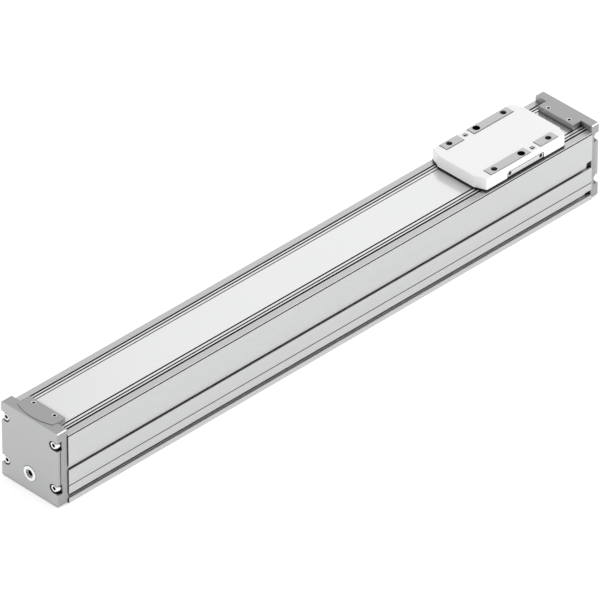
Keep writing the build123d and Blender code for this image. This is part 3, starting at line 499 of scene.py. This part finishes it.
def outward_mesh(
    build: bmesh.types.BMesh, name: str, crease: float | None = None
) -> bpy.types.Mesh:
    """Turn a closed build into a mesh whose faces look outwards.

    Args:
        build: The build, which is freed.
        name: Name of the mesh.
        crease: Angle in degrees from which an edge stays sharp, or None for flat faces.

    Returns:
        The mesh.
    """
    bmesh.ops.recalc_face_normals(build, faces=build.faces)
    mesh = bpy.data.meshes.new(name)
    build.to_mesh(mesh)
    build.free()
    if crease is not None:
        mesh.shade_smooth()
        mesh.set_sharp_from_angle(angle=math.radians(crease))
    return mesh


def merged_build(node: str) -> bmesh.types.BMesh:
    """Copy of a CAD node's mesh with its loose triangles joined.

    Args:
        node: Name of the node.

    Returns:
        The copy, to be freed by the caller.
    """
    build = bmesh.new()
    build.from_mesh(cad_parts[node].data)
    bmesh.ops.remove_doubles(build, verts=build.verts, dist=MERGE_DISTANCE)
    return build


def new_piece(name: str, mesh: bpy.types.Mesh) -> bpy.types.Object:
    """Put a mesh in the scene as an object at the origin.

    Args:
        name: Name of the object and its mesh.
        mesh: Mesh in the frame's axes.

    Returns:
        The new object.
    """
    mesh.name = name
    piece = bpy.data.objects.new(name, mesh)
    bpy.context.scene.collection.objects.link(piece)
    return piece


def evaluated_mesh(piece: bpy.types.Object) -> bpy.types.Mesh:
    """Plain mesh of an object with its modifiers applied."""
    graph = bpy.context.evaluated_depsgraph_get()
    return bpy.data.meshes.new_from_object(piece.evaluated_get(graph), depsgraph=graph)


def attach(piece: bpy.types.Object, body: Body, finish: Finish, *nodes: str) -> None:
    """Dress a finished piece, tie it to its body and hide the CAD nodes that it stands for.

    Args:
        piece: Finished mesh object.
        body: Body that it moves with.
        finish: Its finish.
        *nodes: CAD nodes that it stands for.
    """
    finish.put_on(piece)
    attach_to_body(piece, body.value)
    if nodes:
        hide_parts(*nodes)
    LOG.info("%s: %d faces on %s", piece.name, len(piece.data.polygons), body.value)


def dress(finish: Finish, *nodes: str) -> None:
    """Give CAD nodes that keep their shapes a finish.

    Args:
        finish: The finish.
        *nodes: Names of the nodes.
    """
    for node in nodes:
        finish.put_on(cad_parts[node])
        LOG.info("%s: carried over in %s", node, finish.name)


class GeometryTree(NodeBuilder):
    """One Geometry Nodes tree with named inputs, run on a carrier mesh."""

    def __init__(self, name: str) -> None:
        """Start a tree with a geometry input and output.

        Args:
            name: Name of the node group.
        """
        super().__init__(bpy.data.node_groups.new(name, "GeometryNodeTree"))
        self.identifiers: dict[str, str] = {}
        for way in ("INPUT", "OUTPUT"):
            self.tree.interface.new_socket("Geometry", in_out=way, socket_type="NodeSocketGeometry")
        self.source = self.node("NodeGroupInput")
        self.sink = self.node("NodeGroupOutput")

    def ask(self, name: str, kind: str) -> Socket:
        """Add a named input.

        Args:
            name: Name of the input.
            kind: Socket type.

        Returns:
            The socket inside the tree.
        """
        item = self.tree.interface.new_socket(name, in_out="INPUT", socket_type=kind)
        self.identifiers[name] = item.identifier
        return self.source.outputs[name]

    def place_on_seats(self, shape: Socket) -> Socket:
        """Set a copy of a shape on every seat, turned the way that the seat looks.

        Args:
            shape: Geometry that points along Z.

        Returns:
            The copies, as instances.
        """
        aim = self.node("GeometryNodeInputNamedAttribute", {"Name": AIM}, data_type="FLOAT_VECTOR")
        inputs = {"Vector": aim.outputs["Attribute"]}
        turn = self.node("FunctionNodeAlignRotationToVector", inputs, axis="Z")
        inputs = {"Points": self.source.outputs["Geometry"], "Instance": shape}
        inputs["Rotation"] = turn.outputs["Rotation"]
        return self.node("GeometryNodeInstanceOnPoints", inputs).outputs["Instances"]

    def finish_with(self, geometry: Socket) -> None:
        """End the tree in Realize Instances and Set Material.

        Args:
            geometry: Geometry to hand on.
        """
        finish = self.ask("Finish", "NodeSocketMaterial")
        realized = self.node("GeometryNodeRealizeInstances", {"Geometry": geometry})
        inputs = {"Geometry": realized.outputs["Geometry"], "Material": finish}
        painted = self.node("GeometryNodeSetMaterial", inputs)
        self.feed(self.sink.inputs["Geometry"], painted.outputs["Geometry"])

    def run(
        self, name: str, carrier: bpy.types.Mesh, values: dict[str, object]
    ) -> bpy.types.Object:
        """Evaluate the tree and keep the result as a plain mesh.

        Args:
            name: Name of the resulting piece.
            carrier: Mesh that the tree reads.
            values: Value of each named input.

        Returns:
            The new piece, with no modifier.
        """
        holder = new_piece(f"{name}_carrier", carrier)
        modifier = holder.modifiers.new("tree", "NODES")
        modifier.node_group = self.tree
        for key, value in values.items():
            modifier[self.identifiers[key]] = value
        mesh = evaluated_mesh(holder)
        bpy.data.objects.remove(holder)
        return new_piece(name, mesh)


@dataclass(frozen=True)
class Seat:
    """Place of a fastener: a point under its head and the way the head looks."""

    point: Vector
    aim: Vector


def seat_mesh(seats: list[Seat]) -> bpy.types.Mesh:
    """Mesh of loose points that carry the direction of each seat.

    Args:
        seats: Places in metres.

    Returns:
        Mesh with the directions in its attribute aim.
    """
    mesh = bpy.data.meshes.new("seats")
    mesh.from_pydata([place.point for place in seats], [], [])
    aims = mesh.attributes.new(AIM, "FLOAT_VECTOR", "POINT")
    for index, place in enumerate(seats):
        aims.data[index].vector = place.aim
    return mesh


def ring_radius(shape: RingShape, radius: float, angle: float) -> float:
    """Distance from the axis to a ring's outline.

    Args:
        shape: Outline of the ring.
        radius: Radius, or half the width across flats, or the reach of a cross.
        angle: Direction in radians.

    Returns:
        The distance in metres.
    """
    if shape is RingShape.HEXAGON:
        third = math.pi / 3
        return radius / math.cos((angle + third / 2) % third - third / 2)
    if shape is RingShape.KNURLED:
        return radius * (1.0 - KNURL_DEPTH * (round(angle / math.tau * KNURL_STEPS) % 2))
    if shape is RingShape.CROSS:
        quarter = math.pi / 2
        off_axis = abs((angle + quarter / 2) % quarter - quarter / 2)
        across = CROSS_ARM * radius / max(math.sin(off_axis), CROSS_TIP)
        return min(radius / math.cos(off_axis), across)
    return radius


@dataclass(frozen=True)
class Ring:
    """One cross-section of a lofted piece."""

    shape: RingShape
    radius: float
    height: float


def loft(name: str, rings: list[Ring], segments: int) -> bpy.types.Mesh:
    """Closed mesh through rings stacked along Z.

    Args:
        name: Name of the mesh.
        rings: Cross-sections from the tip to the last one inside the recess.
        segments: Points in each ring.

    Returns:
        The mesh, with outward faces.
    """
    build = bmesh.new()
    loops = []
    for ring in rings:
        loop = []
        for angle in circle_angles(segments):
            reach = ring_radius(ring.shape, ring.radius, angle)
            place = (reach * math.cos(angle), reach * math.sin(angle), ring.height)
            loop.append(build.verts.new(place))
        loops.append(loop)
    bridge(build, loops)
    build.faces.new(list(reversed(loops[0])))
    build.faces.new(loops[-1])
    return outward_mesh(build, name, SCREW_CREASE)


@dataclass(frozen=True)
class ScrewForm:
    """Sizes of one kind of screw, in millimetres.

    Some are shares: the tip's of the shank's radius, knurl_drop and the crown's insets and drops
    of the head's diameter, socket_depth of the head's height or the key, whichever is larger,
    and the recess's others of half the key, apart from cross_mouth_depth.
    """

    name: str
    size: float
    head_diameter: float
    head_height: float
    length: float
    key: float
    head: Head = Head.CYLINDER
    drive: Drive = Drive.SOCKET
    segments: int = 48
    tip_radius: float = 0.75
    tip_length: float = 0.25
    lower_edge: float = 0.15
    knurl_drop: float = 0.16
    crown: tuple[Span, ...] = ((0.02, 0.13), (0.11, 0.0))
    rim_inset: float = 0.05
    rim_edge: float = 0.3
    cross_mouth: float = 1.06
    cross_mouth_depth: float = 0.06
    cross_floor: float = 0.85
    cross_depth: float = 1.3
    socket_mouth: float = 1.2
    socket_mouth_depth: float = 0.12
    socket_depth: float = 0.5
    socket_tip: float = 0.4
    socket_tip_depth: float = 0.35

    def rings(self) -> list[Ring]:
        """Cross-sections from the tip of the shank to the floor of the recess.

        Returns:
            Rings in metres. The head's underside is at 0 on a cylinder head, its top on a
            countersunk one.
        """
        shank = self.size / 2
        rim = self.head_diameter / 2
        top = self.head_height if self.head is Head.CYLINDER else 0.0
        outline = [
            (RingShape.ROUND, self.tip_radius * shank, -self.length),
            (RingShape.ROUND, shank, -self.length + self.tip_length * shank),
        ]
        if self.head is Head.CYLINDER:
            outline += [
                (RingShape.ROUND, shank, 0.0),
                (RingShape.ROUND, rim - self.lower_edge, 0.0),
                (RingShape.KNURLED, rim, self.lower_edge),
                (RingShape.KNURLED, rim, top - self.knurl_drop * self.head_diameter),
            ]
            for inset, drop in self.crown:
                radius = rim - inset * self.head_diameter
                outline.append((RingShape.ROUND, radius, top - drop * self.head_diameter))
        else:
            outline += [
                (RingShape.ROUND, shank, shank - rim),
                (RingShape.ROUND, rim - self.rim_inset, -self.rim_edge),
                (RingShape.ROUND, rim - self.rim_edge, top),
            ]
        return [Ring(shape, radius * MM, z * MM) for shape, radius, z in outline + self.recess(top)]

    def recess(self, top: float) -> list[tuple[RingShape, float, float]]:
        """Cross-sections of the drive's recess.

        Args:
            top: Height of the head's top.

        Returns:
            Shape, radius and height of each, in millimetres.
        """
        half = self.key / 2
        if self.drive is Drive.CROSS:
            return [
                (RingShape.CROSS, self.cross_mouth * half, top),
                (RingShape.CROSS, half, top - self.cross_mouth_depth),
                (RingShape.CROSS, self.cross_floor * half, top - self.cross_depth * half),
            ]
        floor = top - self.socket_depth * max(self.head_height, self.key)
        return [
            (RingShape.ROUND, self.socket_mouth * half, top),
            (RingShape.HEXAGON, half, top - self.socket_mouth_depth * half),
            (RingShape.HEXAGON, half, floor),
            (RingShape.ROUND, self.socket_tip * half, floor - self.socket_tip_depth * half),
        ]


@cache
def screw_tree() -> GeometryTree:
    """Tree that sets a screw on every seat, each turned by its own random angle.

    Returns:
        The tree, with inputs Screw, Seed and Finish.
    """
    tree = GeometryTree("screws_on_seats")
    screw = tree.node("GeometryNodeObjectInfo", {"Object": tree.ask("Screw", "NodeSocketObject")})
    inputs = {RANDOM_LIMIT: math.tau, "Seed": tree.ask("Seed", "NodeSocketInt")}
    spin = tree.node("FunctionNodeRandomValue", inputs, data_type="FLOAT")
    turn = tree.node("ShaderNodeCombineXYZ", {"Z": spin.outputs[RANDOM_RESULT]})
    inputs = {"Instances": tree.place_on_seats(screw.outputs["Geometry"])}
    inputs["Rotation"] = turn.outputs["Vector"]
    tree.finish_with(tree.node("GeometryNodeRotateInstances", inputs).outputs["Instances"])
    return tree


@cache
def thread_tree() -> GeometryTree:
    """Tree that winds a thread's ridge down from every seat.

    Returns:
        The tree, with inputs Radius, Pitch, Turns, Ridge and Finish.
    """
    tree = GeometryTree("threads_in_holes")
    radius, pitch, turns, ridge = (
        tree.ask(name, "NodeSocketFloat") for name in ("Radius", "Pitch", "Turns", "Ridge")
    )
    height = tree.calculate("MULTIPLY", pitch, turns)
    inputs = {"Resolution": THREAD_STEPS, "Rotations": turns, "Height": height}
    inputs |= {"Start Radius": radius, "End Radius": radius}
    spiral = tree.node("GeometryNodeCurveSpiral", inputs)
    inputs = {"Resolution": RIDGE_CORNERS, "Radius": ridge}
    section = tree.node("GeometryNodeCurvePrimitiveCircle", inputs)
    inputs = {"Curve": spiral.outputs["Curve"], "Profile Curve": section.outputs["Curve"]}
    sweep = tree.node("GeometryNodeCurveToMesh", inputs | {"Fill Caps": True})
    drop = tree.calculate("MULTIPLY", height, THREAD_DROP)
    inputs = {"Geometry": sweep.outputs["Mesh"]}
    inputs["Translation"] = tree.node("ShaderNodeCombineXYZ", {"Z": drop}).outputs["Vector"]
    thread = tree.node("GeometryNodeTransform", inputs)
    tree.finish_with(tree.place_on_seats(thread.outputs["Geometry"]))
    return tree


def solid_boxes(node: str) -> list[tuple[Vector, Vector]]:
    """Box of each separate solid of a CAD node.

    Args:
        node: Name of the node.

    Returns:
        Lowest and highest corner of each solid, ordered by place.
    """
    build = merged_build(node)
    unseen = set(build.verts)
    boxes = []
    while unseen:
        stack = [unseen.pop()]
        points = []
        while stack:
            vert = stack.pop()
            points.append(vert.co.copy())
            for edge in vert.link_edges:
                other = edge.other_vert(vert)
                if other in unseen:
                    unseen.remove(other)
                    stack.append(other)
        low = Vector(min(point[axis] for point in points) for axis in range(3))
        high = Vector(max(point[axis] for point in points) for axis in range(3))
        boxes.append((low, high))
    build.free()
    return sorted(boxes, key=lambda pair: tuple(round(value, ORDER_DIGITS) for value in pair[0]))


@dataclass(frozen=True)
class ScrewSet:
    """All the screws of one CAD node, rebuilt with knurls, chamfers and recesses."""

    node: str
    body: Body
    form: ScrewForm
    aims: tuple[Vector, ...]
    seed: int
    finish: Finish = ZINC

    def seats(self) -> list[Seat]:
        """Seats of the screws, read from the boxes of their CAD solids.

        Returns:
            One seat for each screw.
        """
        places = []
        for index, (low, high) in enumerate(solid_boxes(self.node)):
            aim = self.aims[index % len(self.aims)]
            centre = (low + high) / 2
            half = abs((high - low).dot(aim)) / 2
            top = centre + aim * half
            drop = self.form.head_height * MM if self.form.head is Head.CYLINDER else 0.0
            places.append(Seat(top - aim * drop, aim))
        return places

    def build(self) -> None:
        """Make the screws as one piece that stands for the node."""
        model = new_piece(
            f"{self.node}_model", loft(self.form.name, self.form.rings(), self.form.segments)
        )
        values = {"Screw": model, "Seed": self.seed, "Finish": self.finish.material()}
        piece = screw_tree().run(f"{self.node}_detailed", seat_mesh(self.seats()), values)
        bpy.data.objects.remove(model)
        attach(piece, self.body, self.finish, self.node)


@dataclass(frozen=True)
class MachinedPiece:
    """A CAD node's shape with its edges broken, as a milled, cast or moulded piece has them."""

    node: str
    body: Body
    finish: Finish
    edge: float
    segments: int = 2
    crease: float = 28.0
    cutter: bpy.types.Mesh | None = None

    def build(self) -> None:
        """Copy the node, join its triangles and round its edges."""
        build = merged_build(self.node)
        bmesh.ops.dissolve_limit(
            build, angle_limit=math.radians(FLAT_ANGLE), verts=build.verts, edges=build.edges
        )
        mesh = bpy.data.meshes.new(self.node)
        build.to_mesh(mesh)
        build.free()
        holder = new_piece(f"{self.node}_holder", mesh)
        if self.cutter:
            tool = new_piece(f"{self.node}_cutter", self.cutter)
            cut = holder.modifiers.new("cut", "BOOLEAN")
            cut.operation = "DIFFERENCE"
            cut.object = tool
        bevel = holder.modifiers.new("edge", "BEVEL")
        bevel.width = self.edge * MM
        bevel.segments = self.segments
        bevel.limit_method = "ANGLE"
        bevel.angle_limit = math.radians(self.crease)
        bevel.use_clamp_overlap = True
        weld = holder.modifiers.new("weld", "WELD")
        weld.merge_threshold = WELD_DISTANCE
        rounded = evaluated_mesh(holder)
        if self.cutter:
            bpy.data.objects.remove(tool)
        rounded.shade_smooth()
        rounded.set_sharp_from_angle(angle=math.radians(self.crease))
        holder.modifiers.clear()
        holder.data = rounded
        flatten = holder.modifiers.new("flatten", "WEIGHTED_NORMAL")
        flatten.keep_sharp = True
        flatten.weight = FACE_WEIGHT
        finished = evaluated_mesh(holder)
        bpy.data.objects.remove(holder)
        attach(new_piece(f"{self.node}_finished", finished), self.body, self.finish, self.node)


@dataclass(frozen=True)
class EndCaps:
    """Both end caps with their fasteners and the plug."""

    cap_edge: float = 0.25
    plug_edge: float = 0.15
    cap_seed: int = 3
    tongue_seed: int = 5
    cap_screw: ScrewForm = ScrewForm("cap_screw", 4.0, 7.0, 4.0, 20.0, 3.0)
    tongue_screw: ScrewForm = ScrewForm(
        "tongue_screw", 2.5, 4.5, 1.0, 9.0, 2.5, head=Head.COUNTERSUNK
    )

    def build(self) -> None:
        """Build the caps, their screws and the plug."""
        for end, way in (("idle", -1.0), ("drive", 1.0)):
            MachinedPiece(f"{end}_end_cap", Body.FRAME, CAP_ALUMINIUM, self.cap_edge).build()
            outward = (Vector((way, 0.0, 0.0)),)
            for name, form, aims, seed in (
                ("cap_screws", self.cap_screw, outward, self.cap_seed),
                ("tongue_screws", self.tongue_screw, UPWARD, self.tongue_seed),
            ):
                ScrewSet(f"{end}_{name}", Body.FRAME, form, aims, seed).build()
        MachinedPiece("vent_plug", Body.FRAME, PLUG_ZINC, self.plug_edge).build()


@dataclass(frozen=True)
class CoveredBody:
    """Extruded body, strip, carrier and rail."""

    rail_seed: int = 7
    rail_screw: ScrewForm = ScrewForm("rail_screw", 4.0, 7.0, 4.0, 9.0, 3.0, segments=24)

    def build(self) -> None:
        """Dress the body's nodes and build the rail's screws."""
        dress(BODY_ALUMINIUM, "profile")
        dress(CARRIER_ALUMINIUM, "strip_carrier")
        dress(STRIP_STEEL, "cover_strip")
        dress(GROUND_STEEL, "guide_rail")
        dress(BUFFER_RUBBER, "end_buffers")
        dress(BLOCK_ALUMINIUM, "bearing_clamp_ring")
        dress(BEARING_STEEL, "drive_bearing_outer_rings", "idle_bearing_outer_ring")
        ScrewSet("rail_screws", Body.FRAME, self.rail_screw, UPWARD, self.rail_seed).build()


@dataclass(frozen=True)
class Spindle:
    """Ball screw with its groove, journals, inner rings and lock nut. Millimetres."""

    diameter: float = 12.0
    lead: float = 12.0
    starts: int = 2
    groove_depth: float = 0.9
    groove_share: float = 0.45
    groove_run_out: int = 2
    step: float = 1.0
    segments: int = 24
    collar_diameter: float = 14.0
    collar_length: float = 4.0
    bearings_length: float = 16.0
    drive_journal: float = 10.0
    drive_journal_length: float = 20.5
    neck: float = 9.0
    neck_end_drop: float = 20.0
    shaft: float = 8.0
    shaft_chamfer: float = 0.5
    idle_journal: float = 7.0
    idle_journal_length: float = 8.5

    def sections(self) -> list[tuple[float, float, bool]]:
        """Radius along the screw.

        Returns:
            X, radius and whether the ball groove is cut there, from the idle end.
        """
        low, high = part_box("ball_screw")
        start, end = low.x / MM, high.x / MM
        thread_start = start + self.idle_journal_length
        seat_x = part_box("bearing_lock_nut")[0].x / MM - self.bearings_length
        thread_end = seat_x - self.collar_length
        rows = [(start, self.idle_journal / 2, False), (thread_start, self.idle_journal / 2, False)]
        count = round((thread_end - thread_start) / self.step)
        for index in range(count + 1):
            x = thread_start + (thread_end - thread_start) * index / count
            cut = self.groove_run_out < index < count - self.groove_run_out
            rows.append((x, self.diameter / 2, cut))
        journal_end = seat_x + self.drive_journal_length
        plain = [
            (thread_end, self.collar_diameter),
            (seat_x, self.collar_diameter),
            (seat_x, self.drive_journal),
            (journal_end, self.drive_journal),
            (journal_end, self.neck),
            (end - self.neck_end_drop, self.neck),
            (end - self.neck_end_drop, self.shaft),
            (end - self.shaft_chamfer, self.shaft),
            (end, self.shaft - 2 * self.shaft_chamfer),
        ]
        return rows + [(x, diameter / 2, False) for x, diameter in plain]

    def groove(self, x: float, angle: float) -> float:
        """Depth of the ball groove.

        Args:
            x: Place along the screw.
            angle: Direction round it in radians.

        Returns:
            Depth in millimetres.
        """
        phase = (x / self.lead - angle / math.tau) * self.starts % 1.0
        off_centre = abs(phase - 0.5) * 2 / self.groove_share
        return self.groove_depth * math.sqrt(max(0.0, 1.0 - off_centre**2))

    def build(self) -> None:
        """Build the screw and dress what turns with it."""
        axis_z = sum(corner.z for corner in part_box("ball_screw")) / 2
        build = bmesh.new()
        loops = []
        for x, radius, cut in self.sections():
            loop = []
            for angle in circle_angles(self.segments):
                reach = (radius - (self.groove(x, angle) if cut else 0.0)) * MM
                y, z = reach * math.cos(angle), axis_z + reach * math.sin(angle)
                loop.append(build.verts.new((x * MM, y, z)))
            loops.append(loop)
        bridge(build, loops)
        build.faces.new(loops[0])
        build.faces.new(list(reversed(loops[-1])))
        mesh = outward_mesh(build, "ball_screw_grooved", SPINDLE_CREASE)
        attach(new_piece(mesh.name, mesh), Body.SPINDLE, GROUND_STEEL, "ball_screw")
        dress(BEARING_STEEL, "drive_bearing_inner_rings", "idle_bearing_inner_ring")
        dress(GROUND_STEEL, "bearing_lock_nut", "idle_retaining_ring")


@dataclass(frozen=True)
class Slide:
    """Slide with its cover, table, pads, plates, yoke, nut and carriages. Millimetres."""

    edge: float = 0.15
    plate_edge: float = 0.12
    cover_crease: float = 20.0
    screw_seed: int = 11
    nose_width: float = 38.4
    nose_length: float = 3.9
    nose_step: float = 0.9
    cut_margin: float = 1.0
    lip_gap: float = 0.08
    lip_foot: float = 0.1
    lip_wrap: float = 0.2
    lip_rise: float = 0.35
    lip_width: float = 0.8
    strip_clearance: float = 0.3
    carrier_clearance: float = 0.6
    thread_diameter: float = 5.0
    thread_pitch: float = 0.8
    thread_turns: float = 9.0
    thread_ridge: float = 0.42
    hole_spacing_x: float = 57.0
    hole_spacing_y: float = 46.4
    cover_screw: ScrewForm = ScrewForm(
        "cover_screw", 2.5, 4.6, 1.0, 7.0, 3.9, head=Head.COUNTERSUNK, drive=Drive.CROSS
    )
    plate_screw: ScrewForm = ScrewForm(
        "plate_screw", 2.0, 3.4, 0.8, 5.0, 1.3, head=Head.COUNTERSUNK, segments=24
    )
    table_screw: ScrewForm = ScrewForm("table_screw", 3.0, 5.5, 3.0, 4.8, 2.5, segments=24)
    yoke_screw: ScrewForm = ScrewForm(
        "yoke_screw", 3.0, 5.5, 1.2, 7.0, 2.0, head=Head.COUNTERSUNK, segments=24
    )
    carriage_screw: ScrewForm = ScrewForm("carriage_screw", 3.0, 5.5, 3.0, 9.0, 2.5, segments=24)
    nut_screw: ScrewForm = ScrewForm("nut_screw", 3.0, 5.5, 3.0, 11.8, 2.5, segments=24)

    def build(self) -> None:
        """Build everything that travels."""
        MachinedPiece(
            "slide_cover", Body.SLIDE, WHITE_COVER, self.edge,
            crease=self.cover_crease, cutter=self.nose_cutter(),
        ).build()
        MachinedPiece("slide_table", Body.SLIDE, TABLE_ALUMINIUM, self.edge).build()
        MachinedPiece("side_plates", Body.SLIDE, PLATE_ALUMINIUM, self.plate_edge).build()
        dress(GROUND_STEEL, "slide_yoke", "ball_nut", "guide_carriages")
        dress(BLOCK_ALUMINIUM, "nut_housing")
        dress(SEAL_AND_SHADE_BLACK, "carriage_end_seals")
        dress(MAGNET_NICKEL, "sensor_magnets")
        self.build_shadow_lip()
        self.build_screws()
        self.build_threads()

    def outline(self) -> Triple:
        """Middle, half length and half width of the slide, in metres."""
        low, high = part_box("slide_cover")
        return (low.x + high.x) / 2, (high.x - low.x) / 2, high.y

    def nose_cutter(self) -> bpy.types.Mesh:
        """Four wedges that set the cover's slanted corners back from its noses.

        Returns:
            The mesh that is taken away.
        """
        low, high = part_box("slide_cover")
        middle, half, side = self.outline()
        nose = self.nose_width / 2 * MM
        margin = self.cut_margin * MM
        inner = Vector((half - self.nose_step * MM, nose))
        outer = Vector((half - self.nose_length * MM, side))
        beyond = outer + (outer - inner).normalized() * margin
        far = half + margin
        plan = [Vector((far, nose)), inner, beyond, Vector((far, beyond.y))]
        build = bmesh.new()
        for way_x, way_y in ((-1, -1), (-1, 1), (1, -1), (1, 1)):
            loops = [
                [build.verts.new((middle + way_x * x, way_y * y, z)) for x, y in plan]
                for z in (low.z - margin, high.z + margin)
            ]
            bridge(build, loops)
            for loop in loops:
                build.faces.new(loop)
        return outward_mesh(build, "nose_cutter")

    def lip_corners(self, inset: float) -> list[Triple]:
        """Corners of the black lip, painted shade in the gap under the cover, at a distance inside
        the slide's outline.

        The lip's foot steps over the strip and comes down close to the lands beside it.

        Args:
            inset: Distance inside the outline in millimetres, negative outside it.

        Returns:
            X and Y of each corner, and the height of the lip's foot there, in metres.
        """
        middle, half, side = self.outline()
        nose, length = self.nose_width / 2 * MM, self.nose_length * MM
        slant = math.atan2(side - nose, length)
        move = inset * MM
        x_end, y_end = half - move, nose - move * math.tan((math.pi / 2 - slant) / 2)
        x_side, y_side = half - length - move * math.tan(slant / 2), side - move
        over_strip, over_carrier, over_body = (
            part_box(node)[1].z + self.lip_gap * MM
            for node in ("cover_strip", "strip_carrier", "profile")
        )
        strip_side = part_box("cover_strip")[1].y
        quarter = [
            (x_end, strip_side + self.strip_clearance * MM, over_strip),
            (x_end, strip_side + self.carrier_clearance * MM, over_carrier),
            (x_end, y_end, over_carrier),
            (x_side, y_side, over_body),
        ]
        corners = quarter + [(-x, y, z) for x, y, z in reversed(quarter)]
        corners += [(x, -y, z) for x, y, z in reversed(corners)]
        return [(middle + x, y, z) for x, y, z in corners]

    def build_shadow_lip(self) -> None:
        """Black lip along the cover's lower edge, all the way round: painted shade in the gap
        beneath.
        """
        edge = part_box("slide_cover")[0].z
        build = bmesh.new()
        loops = []
        for inset, height in (
            (self.lip_foot, None),
            (-self.lip_wrap, edge - self.lip_wrap * MM),
            (-self.lip_wrap, edge + self.lip_rise * MM),
            (0.0, edge + self.lip_rise * MM),
            (0.0, edge),
            (self.lip_width, edge),
            (self.lip_width, None),
        ):
            corners = self.lip_corners(inset)
            loops.append(
                [build.verts.new((x, y, z if height is None else height)) for x, y, z in corners]
            )
        bridge(build, loops + loops[:1])
        mesh = outward_mesh(build, "slide_wiper_lip")
        attach(new_piece(mesh.name, mesh), Body.SLIDE, SEAL_AND_SHADE_BLACK)

    def build_screws(self) -> None:
        """Build the slide's fasteners."""
        backward = (Vector((-1.0, 0.0, 0.0)),)
        outward = (Vector((0.0, -1.0, 0.0)), Vector((0.0, 1.0, 0.0)))
        for node, form, aims, finish in (
            ("slide_cover_screws", self.cover_screw, UPWARD, DEEPER_SHADED_ZINC),
            ("table_screws", self.table_screw, UPWARD, ZINC),
            ("yoke_screws", self.yoke_screw, UPWARD, ZINC),
            ("carriage_screws", self.carriage_screw, UPWARD, ZINC),
            ("nut_screws", self.nut_screw, backward, ZINC),
            ("side_plate_screws", self.plate_screw, outward, BLACKENED_SCREW),
        ):
            ScrewSet(node, Body.SLIDE, form, aims, self.screw_seed, finish).build()

    def build_threads(self) -> None:
        """Wind the threads in the four corner holes of the pads."""
        low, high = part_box("slide_table")
        middle = (low.x + high.x) / 2
        top = high.z - self.thread_ridge * MM
        reach_x, reach_y = self.hole_spacing_x / 2 * MM, self.hole_spacing_y / 2 * MM
        seats = [
            Seat(Vector((middle + way_x * reach_x, way_y * reach_y, top)), UP)
            for way_x in (-1, 1)
            for way_y in (-1, 1)
        ]
        values = {
            "Radius": self.thread_diameter / 2 * MM,
            "Pitch": self.thread_pitch * MM,
            "Turns": self.thread_turns,
            "Ridge": self.thread_ridge * MM,
            "Finish": SHADED_THREAD.material(),
        }
        piece = thread_tree().run("slide_hole_threads", seat_mesh(seats), values)
        attach(piece, Body.SLIDE, SHADED_THREAD)


@dataclass(frozen=True)
class SoftLight:
    """Square area light: where it hangs, the length of a side and its power in watts."""

    name: str
    place: Triple
    size: float
    power: float


@dataclass(frozen=True)
class Studio:
    """Floor, lights and camera."""

    azimuth: float = -44.764
    elevation: float = 35.592
    focal_pixels: float = 10976.2
    image_pixels: float = 600.0
    sensor: float = 36.0
    distance: float = 8.0184
    target: Vector = field(default_factory=lambda: Vector((0.01156, 0.0, 0.02973)))
    offset_right: float = -0.012848
    offset_up: float = -0.005976
    farthest: float = 60.0
    floor_half: float = 8.0
    sky: float = 0.83
    floor_glow: float = 0.48
    lights: tuple[SoftLight, ...] = (
        SoftLight("key", (1.8, -1.85, 1.85), 1.0, 16.0),
        SoftLight("rear", (2.6, 1.65, 1.8), 1.9, 3.7),
    )

    def camera(self) -> None:
        """Set the camera to the photograph's view."""
        turn, rise = math.radians(self.azimuth), math.radians(self.elevation)
        back = Vector(
            (math.sin(turn) * math.cos(rise), -math.cos(turn) * math.cos(rise), math.sin(rise))
        )
        right = Vector((math.cos(turn), math.sin(turn), 0.0))
        up = back.cross(right)
        place = self.target + right * self.offset_right + up * self.offset_up + back * self.distance
        data = bpy.data.cameras.new("camera")
        data.sensor_width = self.sensor
        data.lens = self.focal_pixels / self.image_pixels * self.sensor
        data.clip_end = self.farthest
        camera = bpy.data.objects.new("camera", data)
        axes = Matrix((right, up, back)).transposed()
        camera.matrix_world = Matrix.Translation(place) @ axes.to_4x4()
        bpy.context.scene.collection.objects.link(camera)
        bpy.context.scene.camera = camera

    def hang(self, soft: SoftLight) -> None:
        """Add a light that looks at the object.

        Args:
            soft: Its place, size and power.
        """
        data = bpy.data.lights.new(soft.name, "AREA")
        data.shape = "SQUARE"
        data.size = soft.size
        data.energy = soft.power
        light = bpy.data.objects.new(soft.name, data)
        light.location = soft.place
        aim = Vector(soft.place) - self.target
        light.rotation_euler = aim.to_track_quat("Z", "Y").to_euler()
        bpy.context.scene.collection.objects.link(light)

    def build(self) -> None:
        """Set up the floor, the lights and the camera."""
        world = bpy.data.worlds.new("studio")
        world.use_nodes = True
        background = world.node_tree.nodes["Background"]
        background.inputs["Color"].default_value = (1.0, 1.0, 1.0, 1.0)
        background.inputs["Strength"].default_value = self.sky
        bpy.context.scene.world = world
        bpy.context.scene.view_settings.view_transform = "Standard"
        half = self.floor_half
        mesh = bpy.data.meshes.new("floor")
        corners = [(-half, -half, 0.0), (half, -half, 0.0), (half, half, 0.0), (-half, half, 0.0)]
        mesh.from_pydata(corners, [], [(0, 1, 2, 3)])
        floor = new_piece("floor", mesh)
        paint = Finish(
            "pale_floor", "", (0.88, 0.88, 0.88), 0.0, 0.9, tint=0.0, grain_strength=0.0,
            glow=self.floor_glow,
        )
        paint.put_on(floor)
        for soft in self.lights:
            self.hang(soft)
        self.camera()


def main() -> None:
    """Build every sub-assembly, then the studio, and note the sizes."""
    logging.basicConfig(level=logging.INFO, format="%(message)s")
    CoveredBody().build()
    EndCaps().build()
    Spindle().build()
    Slide().build()
    Studio().build()


if __name__ == "__main__":
    main()
